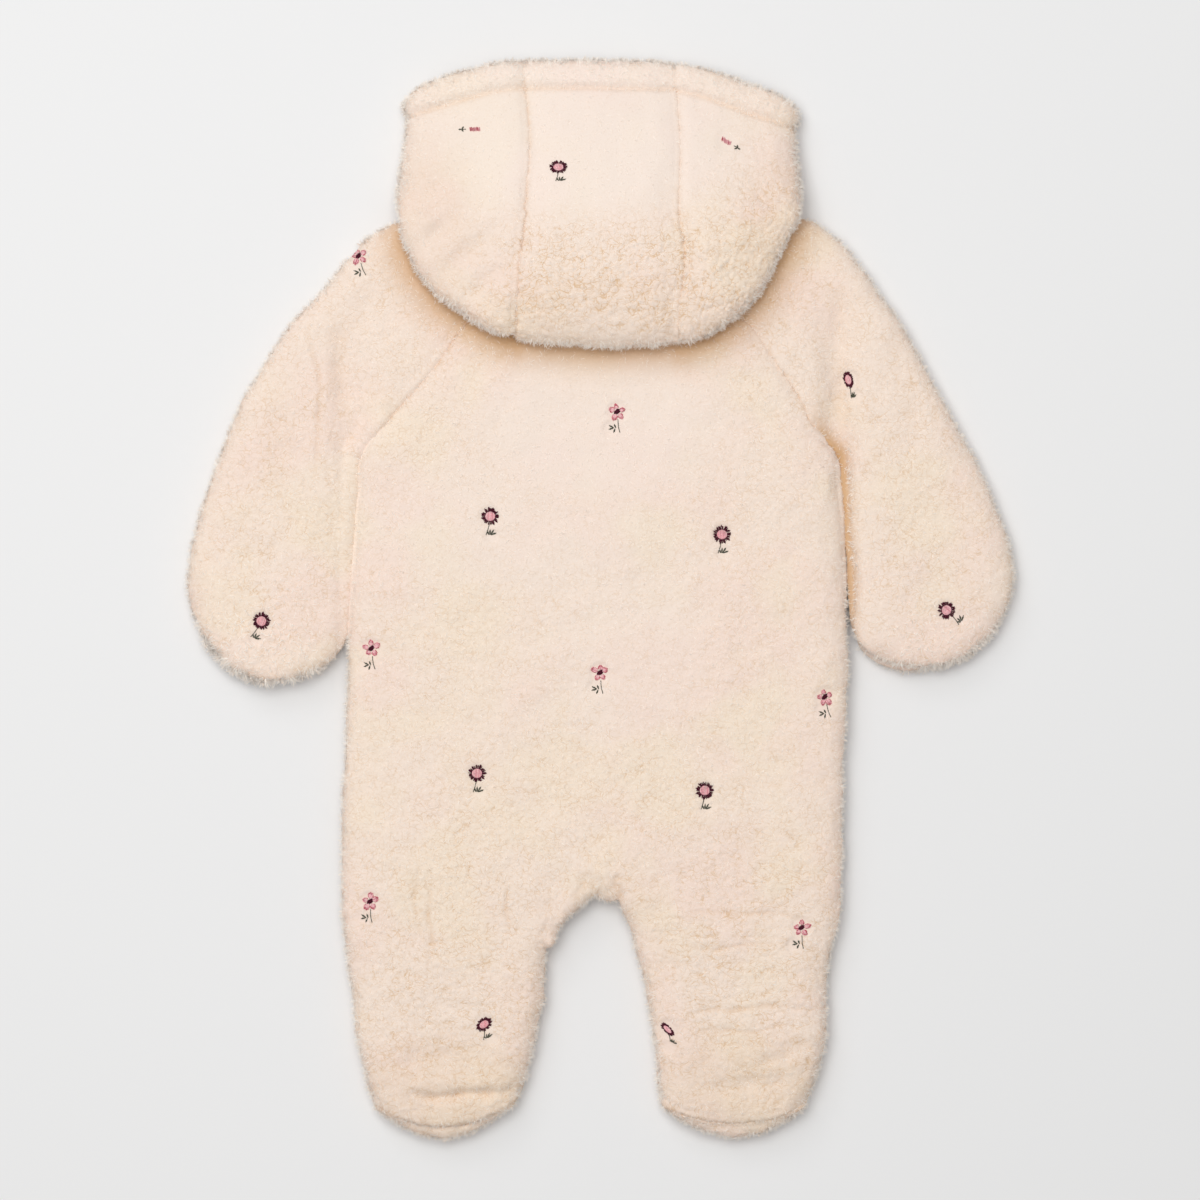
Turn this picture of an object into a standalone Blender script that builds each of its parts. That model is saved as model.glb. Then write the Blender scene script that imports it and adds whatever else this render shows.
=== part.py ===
"""Baby's hooded pramsuit in pile fleece, laid flat on its front with its back up.

The hood lies towards +Y and the feet towards -Y. The origin is under the middle of
the suit, on the surface that it lies on. The tables are in millimetres; every point
is turned into metres where its vertex is made. "Left" and "right" are the viewer's,
looking down on the back: left is -X.

Each layer of cloth is a wall: deep pile, its knitted ground and the backing. The
front layer lies on the surface and the back layer lies on the front one, so the two
meet in one level plane. The hood is folded back over the nape and lies on the back.
"""

from collections import namedtuple
from math import pi, sin, sqrt

import bmesh
import bpy
from mathutils import Vector

MM = 0.001

WALL = 9.6          # one layer of cloth, pile included
LAYER = 10.2        # height of the plane where front and back layers meet
SEAM = 0.3          # open joint between two sewn pieces
BLUNT = 3.0         # half the height of the rolled edge at a side seam
ROLL = 16.0         # how far in from a side seam the cloth has rounded up
DIP = 2.5           # how far a seam across the back sinks into the pile
COLUMNS = 9         # points across half the torso, or across one leg
EDGE_STEPS = (5.0, 16.0)
CENTRE = 1.0        # x of the crotch and of the back's middle

CREAM = (0.86, 0.74, 0.62)
CREAM_DEEP = (0.82, 0.69, 0.56)
TAPE_CREAM = (0.78, 0.68, 0.58)
STEEL = (0.62, 0.60, 0.57)

# Back and front, one row for each cross-section from the neck down to the crotch.
# turn is 1 where the edge is a side seam that rolls down, small at the raglan seam.
Torso = namedtuple("Torso", "y left right top turn")
TORSO = (
    Torso(232.0, -70.0, 71.0, 20.8, 0.15),
    Torso(220.0, -57.0, 58.0, 21.0, 0.20),
    Torso(203.0, -66.0, 69.2, 21.4, 0.20),
    Torso(189.0, -78.0, 84.0, 21.7, 0.20),
    Torso(174.5, -90.0, 99.0, 22.0, 0.20),
    Torso(151.8, -107.6, 115.4, 22.3, 0.20),
    Torso(129.7, -127.1, 129.0, 22.6, 0.22),
    Torso(113.4, -140.7, 136.2, 22.8, 0.30),
    Torso(103.7, -151.8, 144.6, 23.0, 0.60),
    Torso(95.9, -158.6, 152.7, 23.0, 1.00),
    Torso(75.0, -158.9, 153.7, 23.2, 1.00),
    Torso(49.7, -161.5, 156.3, 23.5, 1.00),
    Torso(24.4, -162.6, 157.8, 23.6, 1.00),
    Torso(-0.3, -163.5, 158.9, 23.6, 1.00),
    Torso(-34.0, -165.4, 160.2, 23.4, 1.00),
    Torso(-72.5, -166.7, 159.6, 23.2, 1.00),
    Torso(-105.0, -167.5, 158.2, 23.2, 1.00),
    Torso(-109.0, -167.6, 158.1, 23.2, 1.00),
    Torso(-135.0, -168.2, 157.4, 23.4, 1.00),
    Torso(-165.0, -168.7, 157.0, 23.8, 1.00),
    Torso(-188.8, -168.7, 156.3, 24.0, 1.00),
)

# Above the back's neck edge the front runs on up to its own, beside the sleeves.
FRONT_NECK = (Torso(245.0, -83.0, 84.0, 20.8, 0.10),)

# Legs, one row for each cross-section from the crotch down to the foot.
Leg = namedtuple("Leg", "y left_outer left_inner right_inner right_outer top")
LEGS = (
    Leg(-197.0, -168.5, -13.5, 9.5, 155.6, 24.0),
    Leg(-206.0, -168.0, -23.0, 17.0, 154.7, 24.0),
    Leg(-220.0, -166.4, -28.3, 20.5, 150.5, 24.0),
    Leg(-240.0, -165.0, -33.0, 26.3, 146.6, 24.0),
    Leg(-262.0, -161.8, -37.4, 29.9, 145.9, 24.2),
    Leg(-284.0, -158.6, -42.3, 33.2, 145.6, 24.6),
    Leg(-304.0, -153.4, -47.8, 36.0, 140.0, 25.0),
)

# The toe end of each leg: the line between the ends of the seam, and how far the
# seam and the rolled end of the sole bow out beyond the middle of that line.
Toe = namedtuple("Toe", "name x_out y_out x_in y_in seam_bow end_bow top")
TOES = {
    -1: Toe("sole_left", -148.5, -321.0, -54.0, -318.5, 16.5, 27.6, 24.0),
    1: Toe("sole_right", 133.0, -321.5, 38.5, -322.0, 13.0, 25.6, 24.0),
}
SOLE_UNDER = 44.0   # how far the sole reaches back under the foot
SOLE_END = 0.02     # share of the toe's width that each end of the sole leaves free

# Sleeves: a row for each fold-to-seam line from the neck to the mitten's tip. seam is
# on the raglan seam and then on the underarm seam, fold is on the overarm.
Sleeve = namedtuple("Sleeve", "seam_x seam_y fold_x fold_y top turn")
SLEEVE_LEFT = (
    Sleeve(-57.0, 220.0, -86.8, 244.7, 19.5, 0.20),
    Sleeve(-66.0, 203.0, -110.2, 246.0, 20.2, 0.20),
    Sleeve(-78.0, 189.0, -122.0, 247.0, 20.5, 0.20),
    Sleeve(-90.0, 174.5, -135.5, 246.0, 21.0, 0.20),
    Sleeve(-107.6, 151.8, -154.5, 234.0, 21.6, 0.20),
    Sleeve(-127.1, 129.7, -174.5, 208.5, 22.0, 0.22),
    Sleeve(-140.7, 113.4, -197.9, 185.0, 22.2, 0.30),
    Sleeve(-151.8, 103.7, -214.8, 160.0, 22.2, 0.60),
    Sleeve(-160.0, 95.3, -231.0, 132.5, 22.2, 1.00),
    Sleeve(-159.9, 75.0, -244.4, 101.7, 22.2, 1.00),
    Sleeve(-162.4, 49.7, -257.2, 66.0, 22.2, 1.00),
    Sleeve(-163.5, 24.4, -265.8, 36.0, 22.4, 1.00),
    Sleeve(-164.4, -0.3, -268.0, 11.4, 22.6, 1.00),
    Sleeve(-165.5, -19.2, -265.0, -6.2, 22.6, 1.00),
    Sleeve(-168.4, -31.5, -256.0, -25.4, 22.4, 1.00),
    Sleeve(-180.0, -42.4, -240.6, -41.9, 22.0, 1.00),
    Sleeve(-198.0, -49.8, -223.0, -50.4, 20.6, 1.00),
)
SLEEVE_RIGHT = (
    Sleeve(58.0, 220.0, 87.4, 244.7, 19.5, 0.20),
    Sleeve(69.2, 203.0, 110.8, 247.3, 20.2, 0.20),
    Sleeve(84.0, 189.0, 122.5, 249.0, 20.5, 0.20),
    Sleeve(99.0, 174.5, 136.0, 248.5, 21.0, 0.20),
    Sleeve(115.4, 151.8, 156.5, 232.5, 21.6, 0.20),
    Sleeve(129.0, 129.7, 174.4, 208.5, 22.0, 0.22),
    Sleeve(136.2, 113.4, 192.0, 182.0, 22.2, 0.30),
    Sleeve(144.6, 103.7, 208.8, 155.0, 22.2, 0.60),
    Sleeve(154.2, 95.3, 224.6, 124.6, 22.2, 1.00),
    Sleeve(154.8, 75.0, 240.2, 95.9, 22.2, 1.00),
    Sleeve(157.3, 49.7, 253.0, 71.2, 22.2, 1.00),
    Sleeve(158.8, 24.4, 262.9, 45.8, 22.4, 1.00),
    Sleeve(159.9, -0.3, 268.0, 19.8, 22.6, 1.00),
    Sleeve(161.0, -19.2, 265.0, -0.3, 22.6, 1.00),
    Sleeve(164.6, -31.8, 254.6, -19.5, 22.4, 1.00),
    Sleeve(178.0, -41.0, 238.0, -33.6, 22.0, 1.00),
    Sleeve(198.0, -45.4, 219.5, -41.6, 20.6, 1.00),
)

# Where the sleeve bends down beside the body: a soft trough along x, from the
# shoulder to the armpit.
Crease = namedtuple("Crease", "x top_y bottom_y width depth")
CREASES = {-1: Crease(-160.0, 205.0, 96.0, 9.0, 6.0), 1: Crease(152.0, 215.0, 96.0, 8.0, 7.0)}

# Hood, one row for each line across it from the hem over the forehead to the fold on
# the back. rise lifts the middle of the line, and a larger bend keeps it up nearer to
# the corners. seam_* are the seams beside the middle panel and under_* the ends of the
# cloth that turns under. low is what the hood lies on, side and crown are the heights
# near its side fold and in its middle.
Hood = namedtuple(
    "Hood",
    "left left_y right right_y rise bend seam_left seam_right under_left under_right low side crown",
)
HOOD = (
    Hood(-125.1, 323.0, 124.5, 318.0, 26.3, 4.0, -51.0, 46.5, -105.0, 104.0, 0.0, 20.5, 20.0),
    Hood(-126.2, 313.0, 124.6, 306.0, 22.5, 2.0, -48.6, 48.8, -91.0, 90.0, 0.0, 23.5, 26.0),
    Hood(-127.7, 294.1, 125.8, 288.6, 14.5, 2.0, -46.5, 50.4, -68.6, 68.0, 0.0, 27.5, 34.0),
    Hood(-130.3, 275.9, 128.4, 272.0, 8.0, 2.0, -46.5, 50.4, -34.8, 36.0, 0.0, 31.5, 40.5),
    Hood(-132.3, 261.6, 129.0, 260.6, 3.0, 2.0, -47.8, 49.7, -7.5, 8.5, 0.0, 36.0, 44.5),
    Hood(-132.3, 249.3, 128.4, 249.3, 0.0, 2.0, -48.4, 49.0, -48.7, 49.3, 21.3, 44.0, 47.0),
    Hood(-129.7, 233.7, 122.5, 235.6, -1.0, 2.0, -50.4, 51.0, -50.7, 51.3, 21.4, 45.0, 50.0),
    Hood(-121.9, 216.1, 112.8, 217.4, -4.0, 2.0, -52.3, 53.0, -52.6, 53.3, 21.7, 45.5, 51.5),
    Hood(-108.9, 199.2, 102.4, 199.2, -9.0, 2.0, -54.3, 50.0, -54.6, 50.3, 22.1, 45.0, 51.0),
    Hood(-93.3, 186.9, 89.4, 185.6, -12.0, 2.0, -54.3, 50.0, -54.6, 50.3, 22.4, 44.5, 49.0),
    Hood(-76.4, 177.6, 73.0, 175.0, -11.0, 2.0, -54.3, 50.0, -54.6, 50.3, 23.4, 43.0, 44.5),
    Hood(-65.4, 171.8, 61.5, 169.3, -7.5, 2.0, -54.3, 50.0, -54.6, 50.3, 26.4, 39.0, 39.0),
)
HOOD_NECK_ROW = 6     # row where the middle panel meets the back neck seam
HOOD_LAST_ROW = 8     # last row above the middle panel's fold
HOOD_COLUMNS = (0.0, 0.16, 0.5, 0.84, 1.0)
HOOD_NOSE = 15.0      # how far in from the side fold the hood has rounded up
HEM_WALL = 13.0       # the hem is the panels' own edge, turned in and sewn down
UNDER_WALL = 8.8      # the cloth under the hood is pressed a little thinner

# The middle panel's fold: each step's place beyond the fold line on the outside and
# the inside of the cloth, and its height as a share of half the hood's.
Fold = namedtuple("Fold", "outer_y inner_y height")
HOOD_FOLD = (
    Fold(12.0, 17.0, 0.96), Fold(3.5, 11.5, 0.62), Fold(0.0, 9.6, 0.0),
    Fold(3.5, 11.5, -0.62), Fold(12.0, 17.0, -0.96),
)

# Centre front zip.
ZIP_TOP = 240.0
ZIP_END = -104.0
ZIP_SLOT = 5.5        # half the gap between the two front edges along the zip
TAPE_HALF = 12.5
TAPE_LOW = 8.9
TAPE_HIGH = 10.0
CHAIN_HALF = 2.5
CHAIN_LOW = 6.9
TAPE_SEAT = 8.6       # the front edges are thinner where the tape is sewn on

SLIDER_Y = 226.0
SLIDER_HALF = 4.2
SLIDER_LENGTH = 10.0
SLIDER_LOW = 3.7
SLIDER_HIGH = 8.2
SLIDER_GROOVE = 6.6
BRIDGE_HALF = 0.75
BRIDGE_REACH = 3.2
BRIDGE_LOW = 0.7
BRIDGE_EYE = 1.3
BRIDGE_EYE_LOW = 1.5
PULL_AXIS_Z = 2.6
PULL_HALF = 2.7
PULL_THICK = 1.2
PULL_LENGTH = 22.0
PULL_EYE_HALF = 1.2
PULL_EYE_END = 4.0

Point = namedtuple("Point", "x y outer_z inner_z")


def clear_scene():
    for thing in list(bpy.data.objects):
        bpy.data.objects.remove(thing, do_unlink=True)


def material(name, colour, roughness, metallic):
    finish = bpy.data.materials.new(name)
    finish.use_nodes = True
    shader = finish.node_tree.nodes["Principled BSDF"]
    shader.inputs["Base Color"].default_value = (*colour, 1.0)
    shader.inputs["Roughness"].default_value = roughness
    shader.inputs["Metallic"].default_value = metallic
    return finish


def add_object(name, mesh, finish):
    bmesh.ops.recalc_face_normals(mesh, faces=mesh.faces)
    data = bpy.data.meshes.new(name)
    mesh.to_mesh(data)
    mesh.free()
    data.materials.append(finish)
    thing = bpy.data.objects.new(name, data)
    bpy.context.collection.objects.link(thing)
    return thing


def smooth(value, start, end):
    """0 before start, 1 after end, and an even bend between them."""
    share = min(max((value - start) / (end - start), 0.0), 1.0)
    return share * share * (3.0 - 2.0 * share)


def rounded(distance, reach):
    """Height of a quarter-round roll, from 0 at its edge to 1 at its reach."""
    share = 1.0 - min(max(distance / reach, 0.0), 1.0)
    return sqrt(max(1.0 - share * share, 0.0))


def between(a, b, share):
    return a + (b - a) * share


def wall(name, cells, outer, inner, finish):
    """A closed wall of cloth from cells of keys that have an outer and an inner point."""
    mesh = bmesh.new()
    front = {key: mesh.verts.new(Vector(point) * MM) for key, point in outer.items()}
    back = {key: mesh.verts.new(Vector(point) * MM) for key, point in inner.items()}
    rim = {}
    for cell in cells:
        mesh.faces.new([front[key] for key in cell])
        mesh.faces.new([back[key] for key in reversed(cell)])
        for start, end in zip(cell, cell[1:] + cell[:1]):
            if (end, start) in rim:
                del rim[(end, start)]
            else:
                rim[(start, end)] = True
    for start, end in rim:
        mesh.faces.new([front[end], front[start], back[start], back[end]])
    return add_object(name, mesh, finish)


def grid(rows, columns):
    """Cells between neighbouring keys (row, column)."""
    return [
        [(row, col), (row, col + 1), (row + 1, col + 1), (row + 1, col)]
        for row in range(rows - 1)
        for col in range(columns - 1)
    ]


def crease_depth(x, y):
    """How far the trough beside the armpit sinks at a point of the sleeve."""
    crease = CREASES[-1 if x < 0 else 1]
    along = smooth(y, crease.bottom_y - 30.0, crease.bottom_y)
    along *= 1.0 - smooth(y, crease.top_y - 40.0, crease.top_y)
    across = max(1.0 - abs(x - crease.x) / (2.0 * crease.width), 0.0)
    return crease.depth * along * across * across * (3.0 - 2.0 * across)


def back_height(top, turn, edge_distance):
    """Outer height of the back layer, rolling or dipping towards its edge."""
    drop = (top - LAYER - BLUNT) * turn
    return top - drop * (1.0 - rounded(edge_distance, ROLL))


def front_height(turn, edge_distance):
    """Outer height of the front layer: on the surface, lifting towards its edge."""
    lift = (LAYER - BLUNT) * turn
    return lift * (1.0 - rounded(edge_distance, ROLL))


def half_columns(edge, middle, near_middle=EDGE_STEPS[::-1]):
    """x of the columns from an edge to the middle, close together at both."""
    way = 1.0 if middle > edge else -1.0
    span = abs(middle - edge)
    scale = min(1.0, 0.5 * (span - near_middle[0]) / EDGE_STEPS[-1])
    starts = [0.0] + [step * scale for step in EDGE_STEPS]
    ends = [span - step for step in near_middle] + [span]
    inside = COLUMNS - len(starts) - len(ends)
    steps = range(1, inside + 1)
    centre = [between(starts[-1], ends[0], step / (inside + 1)) for step in steps]
    return [edge + way * step for step in starts + centre + ends]


def toe_shares(toe):
    """Where the columns of a leg meet the foot's end, from its outer to its inner side."""
    columns = half_columns(toe.x_out, toe.x_in)
    return [(x - toe.x_out) / (toe.x_in - toe.x_out) for x in columns]


def toe_line(toe, share, bow):
    """A point on the foot's end: share runs from its outer to its inner side."""
    x = between(toe.x_out, toe.x_in, share)
    y = between(toe.y_out, toe.y_in, share)
    return x, y - bow * sin(pi * share) ** 0.75


def leg_rows(side, top_layer):
    """Rows of points down one leg, each with its distance from the nearer edge."""
    rows = []
    for leg in LEGS:
        outer_x = leg.left_outer if side < 0 else leg.right_outer
        inner_x = leg.left_inner if side < 0 else leg.right_inner
        xs = half_columns(outer_x, inner_x)
        edges = [min(abs(x - outer_x), abs(x - inner_x)) for x in xs]
        rows.append([(x, leg.y, leg.top, 1.0, edge) for x, edge in zip(xs, edges)])
    toe = TOES[side]
    shares = toe_shares(toe)
    width = abs(toe.x_in - toe.x_out)
    edges = [min(share, 1.0 - share) * width for share in shares]
    if top_layer:
        line = [toe_line(toe, share, toe.seam_bow) for share in shares]
        rows.append([(x, y, toe.top, 1.0, edge) for (x, y), edge in zip(line, edges)])
        return rows
    while rows[-1][0][1] < sole_line(toe, side, 0.5)[1] + 5.0:
        rows.pop()
    end = []
    for share, edge in zip(shares, edges):
        x, y = sole_line(toe, side, share)
        end.append((x, y + SEAM, toe.top, 1.0, edge))
    rows.append(end)
    return rows


def body_point(x, y, top, turn, edge, top_layer):
    if top_layer:
        return Point(x, y, back_height(top, turn, edge), LAYER + 0.5 * SEAM)
    return Point(x, y, front_height(turn, edge), LAYER - 0.5 * SEAM)


def torso_row(row, side, middle, near_middle=EDGE_STEPS[::-1]):
    """The points from one side edge to the middle of a torso row."""
    edge_x = row.left if side < 0 else row.right
    gap = SEAM if row.turn < 1.0 else 0.0
    edge_x -= side * gap
    xs = half_columns(edge_x, middle, near_middle=near_middle)
    return [(x, row.y, row.top, row.turn, abs(x - edge_x)) for x in xs]


def put(keys, row, top_layer, outer, inner):
    """Give each key of a row its outer and its inner point."""
    for key, values in zip(keys, row):
        point = body_point(*values, top_layer)
        outer[key] = (point.x, point.y, point.outer_z)
        inner[key] = (point.x, point.y, point.inner_z)


def back_panel(finish):
    """The back: torso rows across the full width, then rows of their own for each leg."""
    outer, inner = {}, {}
    middle = COLUMNS - 1
    for index, row in enumerate(TORSO):
        left = torso_row(row, -1, CENTRE)
        right = torso_row(row, 1, CENTRE)
        keys = [(index, col) for col in range(2 * COLUMNS - 1)]
        put(keys, left + right[-2::-1], True, outer, inner)
    cells = grid(len(TORSO), 2 * COLUMNS - 1)
    crotch = len(TORSO) - 1
    x, y, _ = outer[(crotch, middle)]
    outer[(crotch, middle)] = (x, y, LAYER + 3.0 * BLUNT)
    for side, name, first in ((-1, "left", 0), (1, "right", middle)):
        above = [(crotch, first + col) for col in range(COLUMNS)]
        for index, row in enumerate(leg_rows(side, True)):
            keys = [(name, index, col) for col in range(COLUMNS)]
            put(keys, row if side < 0 else row[::-1], True, outer, inner)
            for col in range(COLUMNS - 1):
                cells.append([above[col], above[col + 1], keys[col + 1], keys[col]])
            above = keys
    return wall("back_panel", cells, outer, inner, finish)


def front_panel(name, side, finish):
    """One front half: from its side seam to the zip, and on down the front of its leg."""
    outer, inner = {}, {}
    rows = []
    for row in FRONT_NECK + TORSO:
        on_zip = row.y > ZIP_END - 2.0
        gap = ZIP_SLOT if on_zip else 0.5 * SEAM
        middle = (0.0 if on_zip else CENTRE) + side * gap
        seat = (TAPE_HALF + 4.0 - gap, TAPE_HALF + 0.7 - gap) if on_zip else EDGE_STEPS[::-1]
        rows.append(torso_row(row, side, middle, near_middle=seat))
    rows += leg_rows(side, False)
    for index, row in enumerate(rows):
        put([(index, col) for col in range(COLUMNS)], row, False, outer, inner)
        if row[-1][1] > ZIP_END - 2.0:
            for col in (COLUMNS - 2, COLUMNS - 1):
                x, y, _ = inner[(index, col)]
                inner[(index, col)] = (x, y, TAPE_SEAT)
    return wall(name, grid(len(rows), COLUMNS), outer, inner, finish)


def run(reach, nose, steps):
    """Distances from a fold along one side of it, close together round the fold."""
    nose = min(nose, 0.6 * reach)
    out = [0.12 * nose, 0.42 * nose, nose]
    last = max(reach - 5.0, between(nose, reach, 0.75))
    out += [between(nose, last, step / (steps - 1)) for step in range(1, steps)]
    return out + [reach]


def folded_section(under_reach, over_reach, nose, wall_depth, levels):
    """Distances and heights round a folded layer, from its under end to its over end.

    levels(distance, over) gives the outer and inner height of the flat cloth there.
    """
    stops = [(-d, under_reach) for d in reversed(run(under_reach, nose, 3))]
    stops += [(0.0, over_reach)]
    stops += [(d, over_reach) for d in run(over_reach, nose, 5)]
    depth = min(wall_depth, 0.45 * min(under_reach, over_reach))
    section = []
    for signed, reach in stops:
        over = signed >= 0.0
        distance = abs(signed)
        inner_distance = between(depth, reach, distance / reach)
        top_out, top_in = levels(distance, True)
        low_out, low_in = levels(distance, False)
        middle = 0.5 * (top_out + low_out)
        far = top_out if over else low_out
        near = top_in if over else low_in
        outer_z = between(middle, far, rounded(distance, nose))
        inner_round = rounded(inner_distance - depth, 0.5 * nose)
        inner_z = between(0.5 * (top_in + low_in), near, inner_round)
        section.append((distance, outer_z, inner_distance, inner_z))
    return section


def sleeve(name, side, table, finish):
    """A raglan sleeve: front layer, fold along the overarm, back layer."""
    outer, inner = {}, {}
    for index, row in enumerate(table):
        along = Vector((row.seam_x - row.fold_x, row.seam_y - row.fold_y))
        reach = along.length - SEAM
        along.normalize()

        def levels(distance, over, row=row, along=along, reach=reach):
            if over:
                x = row.fold_x + along.x * distance
                y = row.fold_y + along.y * distance
                top = back_height(row.top, row.turn, reach - distance)
                return max(top - crease_depth(x, y), LAYER + BLUNT), LAYER + 0.45
            return front_height(row.turn, reach - distance), LAYER - 0.45

        section = folded_section(reach, reach, ROLL, WALL, levels)
        for col, (distance, outer_z, inner_distance, inner_z) in enumerate(section):
            place = Vector((row.fold_x, row.fold_y)) + along * distance
            inner_place = Vector((row.fold_x, row.fold_y)) + along * inner_distance
            outer[(index, col)] = (place.x, place.y, outer_z)
            inner[(index, col)] = (inner_place.x, inner_place.y, inner_z)
    cells = grid(len(table), len(section))
    return wall(name, cells, outer, inner, finish)


def hood_y(row, x):
    """y of a hood row at x, with the rise in its middle."""
    share = (x - row.left) / (row.right - row.left)
    lift = row.rise * (1.0 - abs(2.0 * share - 1.0) ** row.bend)
    return between(row.left_y, row.right_y, share) + lift


def hood_top(row, x):
    """Height of the hood's crown at x, before it rounds down to its side fold."""
    share = abs(2.0 * (x - row.left) / (row.right - row.left) - 1.0)
    return between(row.crown, row.side, share ** 2.2)


def hood_side(name, side, finish):
    """A side panel: cloth turned under, round the side fold, and over to its seam."""
    outer, inner = {}, {}
    for index, row in enumerate(HOOD):
        fold_x = row.left if side < 0 else row.right
        seam_x = (row.seam_left if side < 0 else row.seam_right) + side * SEAM
        under_x = (row.under_left if side < 0 else row.under_right) + side * SEAM
        over_reach = abs(seam_x - fold_x)
        under_reach = abs(under_x - fold_x)

        def levels(distance, over, row=row, fold_x=fold_x, over_reach=over_reach):
            x = fold_x - side * distance
            if over:
                top = hood_top(row, x)
                top -= DIP * (1.0 - rounded(over_reach - distance, 7.0))
                return top, max(top - WALL, row.low + WALL + 0.8)
            return row.low, row.low + WALL

        nose = min(HOOD_NOSE, 0.8 * over_reach)
        section = folded_section(under_reach, over_reach, nose, WALL, levels)
        for col, (distance, outer_z, inner_distance, inner_z) in enumerate(section):
            x = fold_x - side * distance
            inner_x = fold_x - side * inner_distance
            outer[(index, col)] = (x, hood_y(row, x), outer_z)
            inner[(index, col)] = (inner_x, hood_y(row, inner_x), inner_z)
    cells = grid(len(HOOD), len(section))
    return wall(name, cells, outer, inner, finish)


def hood_centre(name, finish):
    """The middle panel: from the hem over the crown, round the fold, to the neck seam."""
    fold = HOOD[-1]
    outer, inner = {}, {}
    for col, share in enumerate(HOOD_COLUMNS):
        over, under = [], []
        for index, row in enumerate(HOOD[:HOOD_LAST_ROW + 1]):
            x = between(row.seam_left + SEAM, row.seam_right - SEAM, share)
            edge = (row.seam_right - row.seam_left) * min(share, 1.0 - share)
            y = hood_y(row, x)
            top = hood_top(row, x) - DIP * (1.0 - rounded(edge, 7.0))
            over.append((x, y, top, y, top - (HEM_WALL if index == 0 else WALL)))
            if index >= HOOD_NECK_ROW:
                under.append((x, y, row.low, y, row.low + UNDER_WALL))
        x = between(fold.seam_left + SEAM, fold.seam_right - SEAM, share)
        y = hood_y(fold, x)
        high = over[-1][2] - 2.0
        low = HOOD[HOOD_LAST_ROW].low
        middle, half = 0.5 * (high + low), 0.5 * (high - low)
        nose = []
        for step in HOOD_FOLD:
            outer_z = middle + half * step.height
            inner_z = middle + (half - WALL) * step.height
            nose.append((x, y + step.outer_y, outer_z, y + step.inner_y, inner_z))
        stops = over + nose + under[::-1]
        for index, (x, y, outer_z, inner_y, inner_z) in enumerate(stops):
            outer[(index, col)] = (x, y, outer_z)
            inner[(index, col)] = (x, inner_y, inner_z)
    cells = grid(len(stops), len(HOOD_COLUMNS))
    return wall(name, cells, outer, inner, finish)


def sole_line(toe, side, share):
    """A point of the line across the foot's underside where the sole begins."""
    y = toe.y_out + SOLE_UNDER - toe.end_bow
    leg = LEGS[-1]
    leg_out = leg.left_outer if side < 0 else leg.right_outer
    leg_in = leg.left_inner if side < 0 else leg.right_inner
    slide = (leg.y - y) / (leg.y - toe.y_out)
    x_out = between(leg_out, toe.x_out, slide)
    x_in = between(leg_in, toe.x_in, slide)
    return between(x_out, x_in, share), y


def sole(side, finish):
    """A sole: flat under the foot, rolled up round the toe to the seam on the back."""
    toe = TOES[side]
    top_in = LAYER - 0.5 * SEAM
    mesh = bmesh.new()
    rings = []
    for share in [SOLE_END] + toe_shares(toe)[1:-1] + [1.0 - SOLE_END]:
        end_x, end_y = toe_line(toe, share, toe.end_bow)
        seam_y = toe_line(toe, share, toe.seam_bow)[1] - SEAM
        back_x, back_y = sole_line(toe, side, share)
        half_x, half_y = 0.5 * (back_x + end_x), 0.5 * (back_y + seam_y)
        edge = min(share, 1.0 - share) * abs(toe.x_in - toe.x_out)
        low = front_height(1.0, edge)
        high = back_height(toe.top - 2.0, 1.0, edge) - 1.0
        middle = 0.5 * (low + high)
        nose = min(seam_y - end_y, 9.0)
        profile = (
            (back_x, back_y, low),
            (half_x, half_y, low),
            (end_x, end_y + nose, low),
            (end_x, end_y + 0.4 * nose, between(middle, low, 0.78)),
            (end_x, end_y, middle),
            (end_x, end_y + 0.4 * nose, between(middle, high, 0.78)),
            (end_x, seam_y, high),
            (end_x, seam_y, top_in),
            (half_x, half_y, top_in),
            (back_x, back_y, top_in),
        )
        rings.append([mesh.verts.new(Vector(point) * MM) for point in profile])
    for ring, following in zip(rings, rings[1:]):
        for index in range(len(ring)):
            turn = (index + 1) % len(ring)
            mesh.faces.new([ring[index], ring[turn], following[turn], following[index]])
    caps = [mesh.faces.new(rings[0]), mesh.faces.new(rings[-1])]
    bmesh.ops.triangulate(mesh, faces=caps)
    return add_object(toe.name, mesh, finish)


def bar(name, low, high, finish):
    """A straight block between two corners."""
    mesh = bmesh.new()
    size = [(b - a) * MM for a, b in zip(low, high)]
    centre = [0.5 * (a + b) * MM for a, b in zip(low, high)]
    made = bmesh.ops.create_cube(mesh, size=1.0)
    for vertex in made["verts"]:
        vertex.co = Vector([c + v * s for c, v, s in zip(centre, vertex.co, size)])
    return add_object(name, mesh, finish)


def combine(thing, tool, operation):
    """Join or cut one block with another, which then stays as a guide only."""
    modifier = thing.modifiers.new(operation.lower(), "BOOLEAN")
    modifier.operation = operation
    modifier.object = tool
    modifier.solver = "EXACT"
    tool.hide_render = True
    tool.display_type = "WIRE"


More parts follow.
